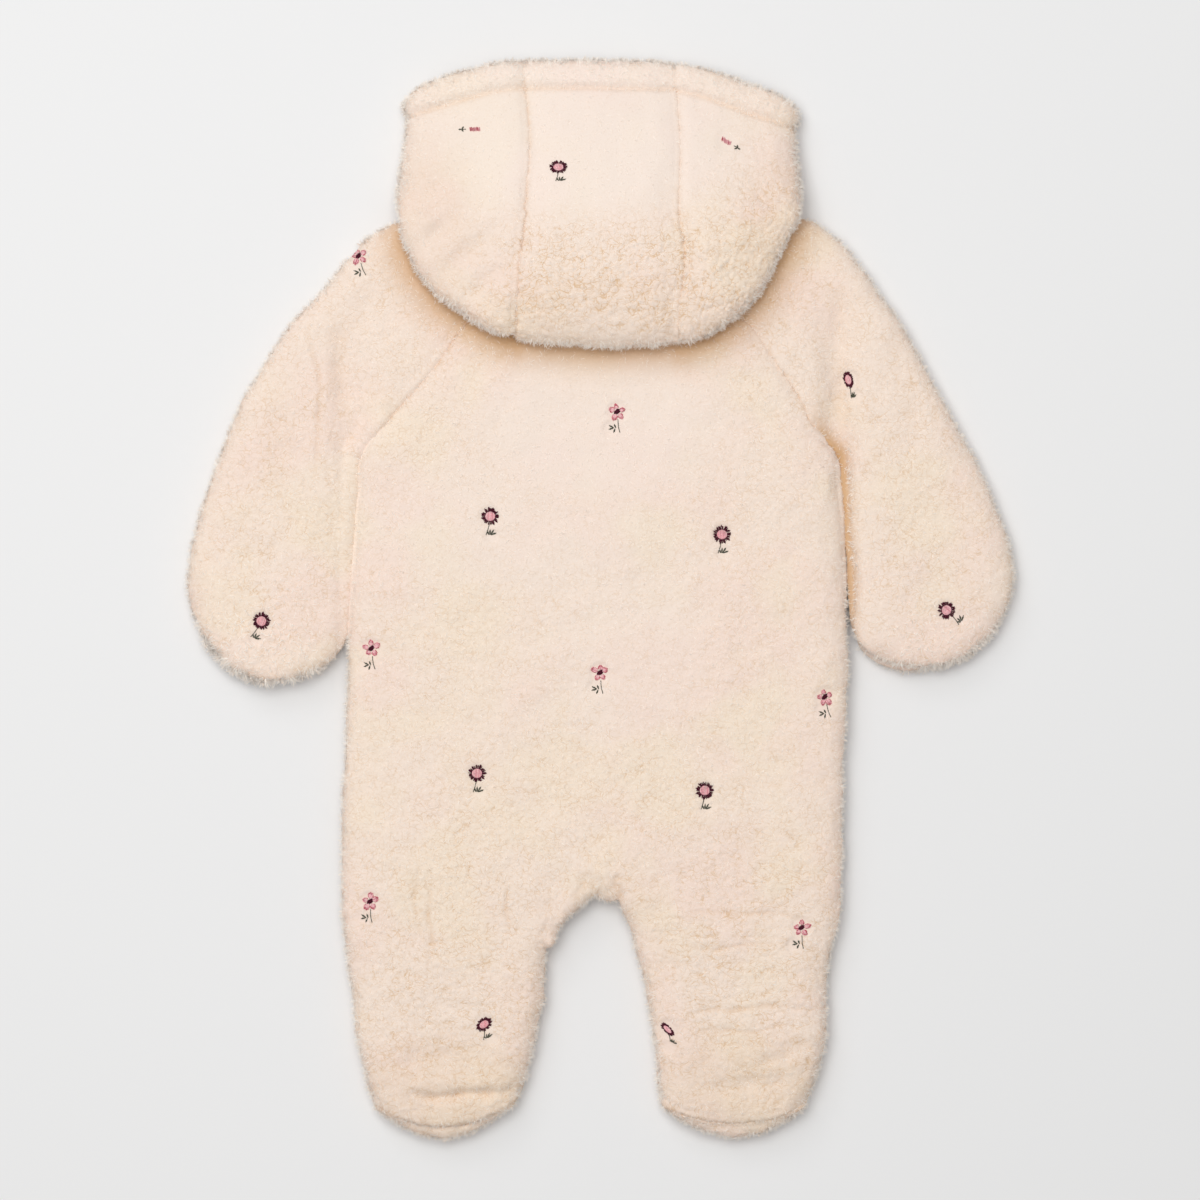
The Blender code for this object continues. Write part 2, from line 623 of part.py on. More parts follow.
def zip_tape(finish):
    """Both tapes and the closed chain, one straight T-shaped strip."""
    mesh = bmesh.new()
    profile = (
        (-TAPE_HALF, TAPE_HIGH), (-TAPE_HALF, TAPE_LOW), (-CHAIN_HALF, TAPE_LOW),
        (-CHAIN_HALF, CHAIN_LOW), (CHAIN_HALF, CHAIN_LOW), (CHAIN_HALF, TAPE_LOW),
        (TAPE_HALF, TAPE_LOW), (TAPE_HALF, TAPE_HIGH),
    )
    corners = [mesh.verts.new(Vector((x, ZIP_TOP, z)) * MM) for x, z in profile]
    face = mesh.faces.new(corners)
    made = bmesh.ops.extrude_face_region(mesh, geom=[face])
    moved = [item for item in made["geom"] if isinstance(item, bmesh.types.BMVert)]
    bmesh.ops.translate(mesh, verts=moved, vec=(0.0, (ZIP_END - ZIP_TOP) * MM, 0.0))
    return add_object("zip_tape", mesh, finish)


def zip_slider(finish):
    """The slider: a body grooved for the chain, with a bridge that carries the pull."""
    half = 0.5 * SLIDER_LENGTH
    body = bar("zip_slider", (-SLIDER_HALF, SLIDER_Y - half, SLIDER_LOW),
               (SLIDER_HALF, SLIDER_Y + half, SLIDER_HIGH), finish)
    groove = bar("slider_groove", (-CHAIN_HALF - SEAM, SLIDER_Y - half - 1.0, SLIDER_GROOVE),
                 (CHAIN_HALF + SEAM, SLIDER_Y + half + 1.0, SLIDER_HIGH + 1.0), finish)
    bridge = bar("slider_bridge", (-BRIDGE_HALF, SLIDER_Y - BRIDGE_REACH, BRIDGE_LOW),
                 (BRIDGE_HALF, SLIDER_Y + BRIDGE_REACH, SLIDER_LOW + 1.0), finish)
    eye = bar("slider_eye", (-2.0, SLIDER_Y - BRIDGE_EYE, BRIDGE_EYE_LOW),
              (2.0, SLIDER_Y + BRIDGE_EYE, SLIDER_LOW), finish)
    combine(body, groove, "DIFFERENCE")
    combine(body, bridge, "UNION")
    combine(body, eye, "DIFFERENCE")
    return body


def zip_pull(finish):
    """The pull tab: a plate whose crossbar turns in the eye of the bridge."""
    half = 0.5 * PULL_THICK
    tab = bar("zip_pull", (-PULL_HALF, -PULL_LENGTH, -half), (PULL_HALF, half, half), finish)
    window = bar("pull_window", (-PULL_EYE_HALF, -PULL_EYE_END, -PULL_THICK),
                 (PULL_EYE_HALF, -half, PULL_THICK), finish)
    combine(tab, window, "DIFFERENCE")
    hinge = Vector((0.0, SLIDER_Y, PULL_AXIS_Z)) * MM
    tab.location = hinge
    window.location = hinge
    return tab


def build():
    clear_scene()
    fleece = material("pile_fleece", CREAM, 0.95, 0.0)
    sleeve_fleece = material("sleeve_fleece", CREAM_DEEP, 0.95, 0.0)
    sole_fleece = material("sole_fleece", CREAM_DEEP, 0.95, 0.0)
    tape = material("zip_tape", TAPE_CREAM, 0.8, 0.0)
    metal = material("zip_metal", STEEL, 0.35, 1.0)
    back_panel(fleece)
    front_panel("front_left", -1, fleece)
    front_panel("front_right", 1, fleece)
    sleeve("sleeve_left", -1, SLEEVE_LEFT, sleeve_fleece)
    sleeve("sleeve_right", 1, SLEEVE_RIGHT, sleeve_fleece)
    sole(-1, sole_fleece)
    sole(1, sole_fleece)
    hood_side("hood_left", -1, fleece)
    hood_side("hood_right", 1, fleece)
    hood_centre("hood_centre", fleece)
    zip_tape(tape)
    zip_slider(metal)
    zip_pull(metal)


build()
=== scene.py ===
"""Baby's hooded pramsuit in cream pile fleece, laid flat on its front, seen from its back.

First come the fleece and the embroidery, which all panels share. The suit is then put
together in the order of the sections: front halves, zip, back, sleeves, soles and hood, and
after it the surface, the light and the camera. Lengths are in metres, +Z is up and the hood
lies towards +Y.
"""

from collections import namedtuple
from math import cos, pi, radians, sin

import bmesh
import bpy
import numpy as np
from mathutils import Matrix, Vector, noise
from mathutils.bvhtree import BVHTree


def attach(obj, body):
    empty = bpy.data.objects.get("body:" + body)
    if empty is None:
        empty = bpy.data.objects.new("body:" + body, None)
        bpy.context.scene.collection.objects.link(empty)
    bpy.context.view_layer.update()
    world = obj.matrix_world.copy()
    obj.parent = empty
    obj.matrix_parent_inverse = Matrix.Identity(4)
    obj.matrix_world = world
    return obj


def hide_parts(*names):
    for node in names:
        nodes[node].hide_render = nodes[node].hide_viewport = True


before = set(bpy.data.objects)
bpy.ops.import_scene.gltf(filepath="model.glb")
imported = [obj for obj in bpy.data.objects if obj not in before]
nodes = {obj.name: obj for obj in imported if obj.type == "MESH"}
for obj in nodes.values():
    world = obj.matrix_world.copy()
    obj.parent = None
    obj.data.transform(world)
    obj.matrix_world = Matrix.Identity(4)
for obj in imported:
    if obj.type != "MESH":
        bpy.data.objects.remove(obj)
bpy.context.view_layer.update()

# ---------------------------------------------------------------------------
# Pile fleece. A knitted ground with a dense crimped pile, brushed and tumbled, so that
# it stands in soft worm-like clumps with thin warm cracks between them. Every cloth
# piece is cut from it: a fine copy of its solid, then the clumps, then the loose fibres.

MM = 0.001
CLOTH = (
    "front_left", "front_right", "back_panel", "sleeve_left", "sleeve_right",
    "sole_left", "sole_right", "hood_left", "hood_right", "hood_centre",
)
CELL = 6.0 * MM             # side of the first quads, halved twice where the cloth shows
INSIDE = 30.0 * MM          # a face with cloth this close in front of it doesn't show
STEP = 0.05 * MM            # how far off a surface a test of what is in front starts
LONGEST = 18.76 * MM        # edges of the solid above this are split before the quads
SPLIT_ROUNDS = 9
SAME_PLACE = 0.001 * MM
FACING_UP = 0.1             # a normal's height from which a face counts as an upper one
FACING_DOWN = -0.5          # and below which it is a lower one, which lies on the surface
SMOOTHINGS = 2
SPREADINGS = 3

UP = Vector((0.0, 0.0, 1.0))


def tree_of(names):
    """A search tree of the named solids, all in one."""
    points, faces = [], []
    for name in names:
        start = len(points)
        data = nodes[name].data
        points += [vertex.co.copy() for vertex in data.vertices]
        faces += [[start + index for index in face.vertices] for face in data.polygons]
    return BVHTree.FromPolygons(points, faces)


all_cloth = tree_of(CLOTH)


def first_cloth(start, way):
    """How far the outer face of the next cloth is in this direction, or None."""
    gone = 0.0
    while gone < INSIDE:
        place, normal, _, distance = all_cloth.ray_cast(start, way, INSIDE - gone)
        if place is None:
            return None
        gone += distance + STEP
        if normal.dot(way) < 0.0:
            return gone
        start = place + way * STEP
    return None


def evened(node):
    """The node's closed mesh, merged, with its long thin triangles split up."""
    mesh = bmesh.new()
    mesh.from_mesh(node.data)
    bmesh.ops.remove_doubles(mesh, verts=mesh.verts, dist=SAME_PLACE)
    for turn in range(SPLIT_ROUNDS):
        long = [edge for edge in mesh.edges if edge.calc_length() > LONGEST]
        if len(long) < 4:
            break
        bmesh.ops.subdivide_edges(mesh, edges=long, cuts=1)
        four = [face for face in mesh.faces if len(face.verts) > 3]
        bmesh.ops.triangulate(mesh, faces=four, quad_method="SHORT_EDGE")
    return mesh


def link(data):
    """An object for this mesh, at the origin and in the scene."""
    piece = bpy.data.objects.new(data.name, data)
    bpy.context.collection.objects.link(piece)
    return piece


def quads(name, cell):
    """A piece of even quads over the node's surface, once subdivided and so rounded."""
    mesh = evened(nodes[name])
    area = sum(face.calc_area() for face in mesh.faces)
    data = bpy.data.meshes.new("cut_" + name)
    mesh.to_mesh(data)
    mesh.free()
    piece = link(data)
    bpy.context.view_layer.objects.active = piece
    piece.select_set(True)
    bpy.ops.object.quadriflow_remesh(target_faces=int(area / cell ** 2), seed=1)
    rounded = piece.modifiers.new("rounded", "SUBSURF")
    rounded.levels = rounded.render_levels = 1
    depsgraph = bpy.context.evaluated_depsgraph_get()
    data = bpy.data.meshes.new_from_object(piece.evaluated_get(depsgraph))
    bpy.data.objects.remove(piece)
    return data


def fine_cloth(name, cell=CELL):
    """The piece's mesh, cut finer where it shows, with "shown" at 1 on those points."""
    rough = quads(name, cell)
    mesh = bmesh.new()
    mesh.from_mesh(rough)
    hidden = mesh.faces.layers.int.new("hidden")
    for face in mesh.faces:
        start = face.calc_center_median() + face.normal * STEP
        clear = first_cloth(start, face.normal) is None
        open_above = face.normal.z > FACING_UP and first_cloth(start, UP) is None
        face[hidden] = int(face.normal.z <= FACING_DOWN or not (clear or open_above))
    edges = [e for e in mesh.edges if not all(face[hidden] for face in e.link_faces)]
    bmesh.ops.subdivide_edges(mesh, edges=edges, cuts=1, use_grid_fill=True)
    fine = [v for v in mesh.verts if not any(face[hidden] for face in v.link_faces)]
    for turn in range(SMOOTHINGS):
        bmesh.ops.smooth_vert(
            mesh, verts=fine, factor=0.5, use_axis_x=True, use_axis_y=True, use_axis_z=True,
        )
    shown = [float(not any(face[hidden] for face in v.link_faces)) for v in mesh.verts]
    mesh.faces.layers.int.remove(hidden)
    data = bpy.data.meshes.new(name + "_fleece")
    mesh.to_mesh(data)
    mesh.free()
    attribute(data, "shown", spread(data, np.array(shown)))
    data.shade_smooth()
    return data


def spread(data, values):
    """The values, evened out between neighbouring points."""
    ends = np.empty(len(data.edges) * 2, dtype=np.int32)
    data.edges.foreach_get("vertices", ends)
    one, other = ends.reshape(-1, 2).T
    count = np.bincount(ends, minlength=len(values))
    for turn in range(SPREADINGS):
        total = np.bincount(one, values[other], len(values))
        total += np.bincount(other, values[one], len(values))
        values = 0.5 * values + 0.5 * total / count
    return values


def attribute(data, name, values):
    layer = data.attributes.get(name) or data.attributes.new(name, "FLOAT", "POINT")
    layer.data.foreach_set("value", np.asarray(values, dtype=np.float32))


def painted_values(data, name):
    found = np.empty(len(data.vertices), dtype=np.float32)
    data.attributes[name].data.foreach_get("value", found)
    return found.astype(float)


def places(data):
    found = np.empty(len(data.vertices) * 3, dtype=np.float32)
    data.vertices.foreach_get("co", found)
    return found.reshape(-1, 3).astype(float)


def between(value, low, high):
    """0 up to low, 1 from high, with an even bend between."""
    share = np.clip((value - low) / (high - low), 0.0, 1.0)
    return share * share * (3.0 - 2.0 * share)


# The pile's clumps: their width, how far they wander, and how deep the cracks are.
CLUMP = 5.2 * MM
SMALL_CLUMP = 2.7 * MM
LONG_CLUMP = 7.0 * MM
WANDER = 4.0 * MM
WANDER_LENGTH = 10.0 * MM
CURL = 1.0 * MM             # their outlines are curly, never straight
CURL_LENGTH = 2.8 * MM
ACROSS = 1.35               # they are shorter along the body than across it
CRACK_DEPTH = 0.46 * MM
SWELL = 2.0 * MM            # the cloth's own unevenness as it lies
SWELL_LENGTH = 55.0 * MM
RIPPLE = 0.9 * MM
RIPPLE_LENGTH = 17.0 * MM


def node(tree, kind, **settings):
    made = tree.nodes.new(kind)
    for name, value in settings.items():
        setattr(made, name, value)
    return made


def feed(tree, target, value):
    """Joins an output to an input, or sets the input to a plain value."""
    if isinstance(value, bpy.types.NodeSocket):
        tree.links.new(value, target)
    else:
        target.default_value = value


def maths(tree, operation, *values):
    made = node(tree, "ShaderNodeMath", operation=operation)
    for target, value in zip(made.inputs, values):
        feed(tree, target, value)
    return made.outputs[0]


def vectors(tree, operation, *values):
    made = node(tree, "ShaderNodeVectorMath", operation=operation)
    for target, value in zip(made.inputs, values):
        feed(tree, target, value)
    return made.outputs[0]


def scaled(tree, vector, factor):
    made = node(tree, "ShaderNodeVectorMath", operation="SCALE")
    feed(tree, made.inputs[0], vector)
    feed(tree, made.inputs["Scale"], factor)
    return made.outputs[0]


def ramp(tree, value, low, high, to_low=0.0, to_high=1.0):
    made = node(tree, "ShaderNodeMapRange", interpolation_type="SMOOTHSTEP")
    for target, number in zip(made.inputs[:5], (value, low, high, to_low, to_high)):
        feed(tree, target, number)
    return made.outputs[0]


def grain(tree, place, length, detail=2.0):
    """Soft noise whose features are about this long, from 0 to 1."""
    made = node(tree, "ShaderNodeTexNoise", noise_dimensions="3D")
    feed(tree, made.inputs["Vector"], place)
    feed(tree, made.inputs["Scale"], 1.0 / length)
    feed(tree, made.inputs["Detail"], detail)
    return made


def clump_edge(tree, place, width):
    """Distance from the nearest crack between clumps, in clump widths."""
    made = node(tree, "ShaderNodeTexVoronoi", feature="DISTANCE_TO_EDGE")
    feed(tree, made.inputs["Vector"], place)
    feed(tree, made.inputs["Scale"], 1.0 / width)
    return made.outputs["Distance"]


def clumps(tree, place):
    """How far a point is from the cracks of the large, small and long clumps."""
    drift = grain(tree, place, WANDER_LENGTH, 1.0).outputs["Color"]
    drift = scaled(tree, vectors(tree, "SUBTRACT", drift, (0.5, 0.5, 0.5)), 2.0 * WANDER)
    curl = grain(tree, place, CURL_LENGTH, 0.0).outputs["Color"]
    curl = scaled(tree, vectors(tree, "SUBTRACT", curl, (0.5, 0.5, 0.5)), 2.0 * CURL)
    place = vectors(tree, "ADD", place, vectors(tree, "ADD", drift, curl))
    large = clump_edge(tree, vectors(tree, "MULTIPLY", place, (1.0, ACROSS, 1.0)), CLUMP)
    small = clump_edge(tree, vectors(tree, "MULTIPLY", place, (1.0, ACROSS, 1.0)), SMALL_CLUMP)
    long = clump_edge(tree, vectors(tree, "MULTIPLY", place, (0.40, 1.5, 1.0)), LONG_CLUMP)
    return large, small, long


def geometry_tree(name, *inputs):
    """A geometry tree and its inputs, listed as (name, kind) or (name, kind, value)."""
    tree = bpy.data.node_groups.new(name, "GeometryNodeTree")
    tree.interface.new_socket("Geometry", in_out="INPUT", socket_type="NodeSocketGeometry")
    for label, kind, *value in inputs:
        made = tree.interface.new_socket(label, in_out="INPUT", socket_type="NodeSocket" + kind)
        if value:
            made.default_value = value[0]
    tree.interface.new_socket("Geometry", in_out="OUTPUT", socket_type="NodeSocketGeometry")
    return tree, node(tree, "NodeGroupInput").outputs


def named(tree, name, kind="FLOAT"):
    """What a named attribute holds at each point, in a geometry tree."""
    made = node(tree, "GeometryNodeInputNamedAttribute", data_type=kind)
    made.inputs["Name"].default_value = name
    return made.outputs["Attribute"]


def dressed(tree, geometry, material):
    made = node(tree, "GeometryNodeSetMaterial")
    feed(tree, made.inputs["Geometry"], geometry)
    feed(tree, made.inputs["Material"], material)
    return made.outputs[0]


def give(tree, geometry):
    feed(tree, node(tree, "NodeGroupOutput").inputs[0], geometry)


def copies(tree, points, thing, **settings):
    """A real copy of an object on each point, with its Rotation and Scale."""
    source = node(tree, "GeometryNodeObjectInfo")
    feed(tree, source.inputs["Object"], thing)
    made = node(tree, "GeometryNodeInstanceOnPoints")
    feed(tree, made.inputs["Points"], points)
    feed(tree, made.inputs["Instance"], source.outputs["Geometry"])
    for name, value in settings.items():
        feed(tree, made.inputs[name], value)
    real = node(tree, "GeometryNodeRealizeInstances")
    feed(tree, real.inputs[0], made.outputs[0])
    return real.outputs[0]


# How the clumps stand out and how much painted shade their cracks get: from which to which
# distance from a crack, in clump widths, and the height or share of shade at both.
LARGE_RELIEF = (0.0, 0.20, -0.75, 0.15)
SMALL_RELIEF = (0.0, 0.35, -0.45, 0.15)
LONG_RELIEF = (0.0, 0.16, -0.8, 0.0)
LARGE_CRACK_SHADE = (0.0, 0.08, 0.46, 0.0)
SMALL_CRACK_SHADE = (0.0, 0.14, 0.34, 0.0)
LONG_CRACK_SHADE = (0.0, 0.05, 0.6, 0.0)


def pile_relief_tree():
    """Raises the pile's clumps and the cloth's unevenness along the normal."""
    tree, given = geometry_tree(
        "pile relief", ("Crack depth", "Float", CRACK_DEPTH), ("Swell", "Float", SWELL),
        ("Fleece", "Material"),
    )
    place = node(tree, "GeometryNodeInputPosition").outputs[0]
    normal = node(tree, "GeometryNodeInputNormal").outputs[0]
    large, small, long = clumps(tree, place)
    height = maths(
        tree, "ADD", ramp(tree, large, *LARGE_RELIEF), ramp(tree, small, *SMALL_RELIEF))
    lines = maths(tree, "MULTIPLY", ramp(tree, long, *LONG_RELIEF), named(tree, "lines"))
    height = maths(tree, "ADD", height, lines)
    rough = maths(tree, "SUBTRACT", 1.0, named(tree, "brushed"))
    rough = maths(tree, "MULTIPLY", rough, named(tree, "crackle"))
    depth = maths(tree, "MULTIPLY", rough, given["Crack depth"])
    height = maths(tree, "MULTIPLY", height, depth)
    swell = maths(tree, "SUBTRACT", grain(tree, place, SWELL_LENGTH, 1.0).outputs[0], 0.5)
    swell = maths(tree, "MULTIPLY", swell, maths(tree, "MULTIPLY", given["Swell"], 2.0))
    ripple = maths(tree, "SUBTRACT", grain(tree, place, RIPPLE_LENGTH, 1.0).outputs[0], 0.5)
    ripple = maths(tree, "MULTIPLY", ripple, 2.0 * RIPPLE)
    lift = maths(tree, "ADD", height, maths(tree, "ADD", swell, ripple))
    lift = maths(tree, "MULTIPLY", lift, named(tree, "shown"))
    lift = maths(tree, "SUBTRACT", lift, named(tree, "sink"))
    keep = node(
        tree, "GeometryNodeStoreNamedAttribute", data_type="FLOAT_VECTOR", domain="POINT")
    feed(tree, keep.inputs["Geometry"], given["Geometry"])
    keep.inputs["Name"].default_value = "flat_place"
    feed(tree, keep.inputs["Value"], place)
    move = node(tree, "GeometryNodeSetPosition")
    feed(tree, move.inputs["Geometry"], keep.outputs[0])
    feed(tree, move.inputs["Offset"], scaled(tree, normal, lift))
    give(tree, dressed(tree, move.outputs[0], given["Fleece"]))
    return tree


pile_relief = pile_relief_tree()


def applied(data, tree, **inputs):
    """The mesh that a node tree makes of this one, with the named inputs set."""
    piece = link(data)
    modifier = piece.modifiers.new(tree.name, "NODES")
    modifier.node_group = tree
    for item in tree.interface.items_tree:
        if item.in_out == "INPUT" and item.name in inputs:
            modifier[item.identifier] = inputs[item.name]
    depsgraph = bpy.context.evaluated_depsgraph_get()
    made = bpy.data.meshes.new_from_object(piece.evaluated_get(depsgraph))
    bpy.data.objects.remove(piece)
    return made


CREAM = (0.900, 0.762, 0.660)      # the brushed tips of the pile, in four shades
CREAM_PINK = (0.905, 0.738, 0.646)
CREAM_GOLD = (0.900, 0.766, 0.634)
SMOOTH_CREAM = (0.912, 0.803, 0.730)
# painted shade for the cracks between clumps, and the pile's own fine flecks
CRACK_SHADE_AND_FLECK = (0.72, 0.51, 0.33)
SHADE_TINT = (0.62, 0.385, 0.20)         # warm painted shade for seams, creases, gaps and under the hood
PINK_LENGTH = 70.0 * MM            # how large the patches of each shade are
GOLD_LENGTH = 60.0 * MM
BREAK_LENGTH = 9.0 * MM            # cracks fade in and out over these lengths
FINE_BREAK_LENGTH = 4.0 * MM
PUFF_LENGTH = 3.2 * MM
FIBRE_LENGTH = 1.1 * MM


def mixed(tree, share, first, second):
    made = node(tree, "ShaderNodeMix", data_type="RGBA")
    feed(tree, made.inputs["Factor"], share)
    for target, value in ((made.inputs["A"], first), (made.inputs["B"], second)):
        feed(tree, target, (*value, 1.0) if isinstance(value, tuple) else value)
    return made.outputs["Result"]


def plain_material(name, **settings):
    """A material, its node tree and its shader's inputs, with the plain values set."""
    finish = bpy.data.materials.new(name)
    finish.use_nodes = True
    shader = finish.node_tree.nodes["Principled BSDF"].inputs
    for setting, value in settings.items():
        shader[setting.replace("_", " ")].default_value = value
    return finish, finish.node_tree, shader


def bumped(tree, shader, height, strength, distance):
    bump = node(tree, "ShaderNodeBump")
    bump.inputs["Strength"].default_value = strength
    bump.inputs["Distance"].default_value = distance
    feed(tree, bump.inputs["Height"], height)
    feed(tree, shader["Normal"], bump.outputs[0])


def fleece_material():
    """Cream pile: tinted in patches, with warm painted shade in its cracks, seams and creases,
    and a soft nap.
    """
    finish, tree, shader = plain_material(
        "pile_fleece", Roughness=0.92, Specular_IOR_Level=0.15, Sheen_Weight=0.25,
        Sheen_Roughness=0.5, Sheen_Tint=(1.0, 0.94, 0.88, 1.0),
    )
    place = node(tree, "ShaderNodeAttribute", attribute_name="flat_place").outputs["Vector"]

    def painted(name):
        return node(tree, "ShaderNodeAttribute", attribute_name=name).outputs["Fac"]

    large, small, long = clumps(tree, place)
    brushed, deep = painted("brushed"), painted("deep")
    pink = grain(tree, place, PINK_LENGTH).outputs[0]
    tint = mixed(tree, ramp(tree, pink, 0.42, 0.66), CREAM, CREAM_PINK)
    elsewhere = vectors(tree, "ADD", place, (0.3, 0.1, 0.2))
    gold = grain(tree, elsewhere, GOLD_LENGTH).outputs[0]
    tint = mixed(tree, ramp(tree, gold, 0.45, 0.68), tint, CREAM_GOLD)
    tint = mixed(tree, maths(tree, "MULTIPLY", brushed, 0.5), tint, SMOOTH_CREAM)
    rough = maths(tree, "SUBTRACT", 1.0, brushed)
    some = ramp(tree, grain(tree, place, BREAK_LENGTH).outputs[0], 0.40, 0.60, 0.1, 1.0)
    few = ramp(tree, grain(tree, place, FINE_BREAK_LENGTH).outputs[0], 0.42, 0.62, 0.15, 1.0)
    crack = maths(tree, "MULTIPLY", ramp(tree, large, *LARGE_CRACK_SHADE), some)
    fine = maths(tree, "MULTIPLY", ramp(tree, small, *SMALL_CRACK_SHADE), few)
    crack = maths(tree, "ADD", crack, fine)
    lines = maths(tree, "MULTIPLY", ramp(tree, long, *LONG_CRACK_SHADE), painted("lines"))
    crack = maths(tree, "ADD", crack, maths(tree, "MULTIPLY", lines, some))
    rough = maths(tree, "MULTIPLY", rough, painted("crackle"))
    crack = maths(tree, "MULTIPLY", crack, rough)
    # painted shade in the cracks between the clumps
    tint = mixed(tree, crack, tint, CRACK_SHADE_AND_FLECK)
    fibre = grain(tree, place, FIBRE_LENGTH).outputs[0]
    tint = mixed(tree, ramp(tree, fibre, 0.5, 0.75, 0.0, 0.16), tint, CRACK_SHADE_AND_FLECK)
    # painted shade in seams, creases, gaps and under the hood
    tint = mixed(tree, deep, tint, SHADE_TINT)
    feed(tree, shader["Base Color"], tint)
    puff = grain(tree, place, PUFF_LENGTH, 1.0).outputs[0]
    puffed = maths(tree, "ADD", maths(tree, "MULTIPLY", rough, 1.1), 0.1)
    puff = maths(tree, "MULTIPLY", puff, puffed)
    relief = maths(tree, "ADD", puff, maths(tree, "MULTIPLY", fibre, 0.8))
    bumped(tree, shader, relief, 0.4, 0.7 * MM)
    return finish


pile_fleece = fleece_material()

# Where the pile is brushed flat and smooth: centre, half sizes and strength.
Patch = namedtuple("Patch", "x y half_x half_y strength")
BRUSHED = (
    Patch(-0.012, 0.302, 0.128, 0.070, 0.95), Patch(-0.09, 0.250, 0.045, 0.080, 0.45),
    Patch(0.00, 0.120, 0.090, 0.070, 0.75), Patch(-0.05, 0.050, 0.110, 0.050, 0.45),
    Patch(0.02, -0.030, 0.060, 0.060, 0.35),
)

# Where its cracks are stronger, and where they run in long lines across the body.
CRACKLED = (
    Patch(-0.09, -0.250, 0.085, 0.130, 0.40), Patch(0.09, -0.250, 0.085, 0.130, 0.30),
    Patch(0.00, 0.205, 0.140, 0.052, 1.1), Patch(0.00, -0.150, 0.080, 0.060, 0.20),
    Patch(0.10, 0.245, 0.035, 0.050, 0.8),
    Patch(-0.21, 0.060, 0.040, 0.110, 0.3), Patch(0.21, 0.060, 0.040, 0.110, 0.3),
)
LINED = (
    Patch(0.10, -0.245, 0.070, 0.110, 0.7), Patch(-0.09, -0.270, 0.080, 0.070, 0.5),
    Patch(0.02, -0.120, 0.150, 0.050, 0.3), Patch(0.00, 0.190, 0.060, 0.030, 0.4),
)

# Painted shade where the cloth slopes away from the light: the feet and the hood's low sides.
SHADED_PATCHES = (
    Patch(-0.100, -0.312, 0.060, 0.038, 0.13), Patch(0.095, -0.308, 0.060, 0.038, 0.12),
    Patch(-0.112, 0.238, 0.036, 0.070, 0.11), Patch(0.112, 0.232, 0.030, 0.060, 0.10),
    Patch(0.000, 0.186, 0.110, 0.026, 0.09),
)

# A seam is a soft valley with a thin line of painted shade in it, broken by the dimples of its
# stitches. The pile of both edges grows over the gap between the two solids.
SEAM_REACH = 15.0 * MM
SEAM_DIMPLED = 9.0 * MM
DIMPLE_LENGTH = 3.2 * MM
SEAM_WIDTH = 3.4 * MM
SEAM_LINE = 2.0 * MM
SEAM_SHADE = 0.50
SEAM_SINK = 0.9 * MM
SEAM_FILL = 2.6 * MM
FILL_START = 1.0 * MM
FILL_REACH = 5.5 * MM
FULL_REACH = 0.7            # where the pile is fuller, it reaches this much further
HIDDEN_LINE = 0.8           # how much of the line the fuller pile covers
CREASE_SHADE = 0.36
FULL_SHADE_DEPTH = 2.5 * MM      # a sink this deep gets all of its painted shade
FULL_SEAMS = (Patch(-0.160, 0.095, 0.020, 0.120, 0.9),)
# Painted shade in the gap between the body and the right sleeve, and how wide it is.
SHADED_GAPS = (Patch(0.157, 0.080, 0.022, 0.140, 1.0),)
GAP_SHADE_WIDTH = 7.5 * MM
RIM_WIDTH = 9.0 * MM        # the body's edge, combed smooth where it lies on the sleeves
HOOD = ("hood_left", "hood_right", "hood_centre")
HOOD_SHADE_WIDTH = 15.0 * MM     # painted shadow that the hood's edge casts, over this width
HEAD_PRESSED = (5.2 * MM, 7.5 * MM)     # a flower presses the pile down, fully up to the
LEAF_PRESSED = (3.6 * MM, 5.5 * MM)     # first distance and not at all from the second
HOOD_PRESSED = 0.35
PATCH_EDGE = (0.5, 1.2)     # a patch fades between these shares of its half sizes
CREASE_WANDER = 1.2 * MM
PLUMP = 0.9 * MM            # the pile's tips stand this far above the rounded solid


def regions(at, table):
    """The strongest of a table's patches at these points."""
    found = np.zeros(len(at))
    for patch in table:
        reach = np.hypot((at[:, 0] - patch.x) / patch.half_x, (at[:, 1] - patch.y) / patch.half_y)
        found = np.maximum(found, patch.strength * (1.0 - between(reach, *PATCH_EDGE)))
    return found


def distances(at, names, reach):
    """How far these points are from the named solids, up to a reach."""
    if not names:
        return np.full(len(at), reach)
    tree = tree_of(names)
    found = [tree.find_nearest(Vector(point), reach)[3] for point in at]
    return np.array([reach if distance is None else distance for distance in found])


# A crease is a shallow arc from one end to the other, with a bow to its left, the half
# width of its trough and its depth, in mm. A negative depth is a ridge.
Crease = namedtuple("Crease", "x y end_x end_y bow width depth")


def crease_sink(at, creases):
    """How far creases sink the cloth at these points, and how much painted shade they get."""
    sink, crease_shade = np.zeros(len(at)), np.zeros(len(at))
    for crease in creases:
        start = np.array([crease.x, crease.y]) * MM
        along = np.array([crease.end_x, crease.end_y]) * MM - start
        length = np.hypot(*along)
        along /= length
        share = (at[:, :2] - start) @ along / length
        inside = np.clip(share, 0.0, 1.0)
        left = (at[:, :2] - start) @ np.array([-along[1], along[0]])
        wander = CREASE_WANDER * np.sin(share * 9.0 + crease.x)
        off = left - crease.bow * MM * 4.0 * inside * (1.0 - inside) - wander
        past = (share - inside) * length
        fade = np.sin(pi * np.clip(0.04 + 0.92 * share, 0.0, 1.0)) ** 0.6
        uneven = 0.8 + 0.2 * np.sin(share * 23.0 + crease.y)
        reach = np.hypot(off, past) / (crease.width * MM)
        share = np.exp(-reach ** 2) * fade * uneven
        sink += crease.depth * MM * share
        crease_shade = np.maximum(crease_shade, np.clip(crease.depth / crease.width, 0.0, 1.0) * share)
    return sink, crease_shade


def normals(data):
    found = np.empty(len(data.vertices) * 3, dtype=np.float32)
    data.vertices.foreach_get("normal", found)
    return found.reshape(-1, 3).astype(float)


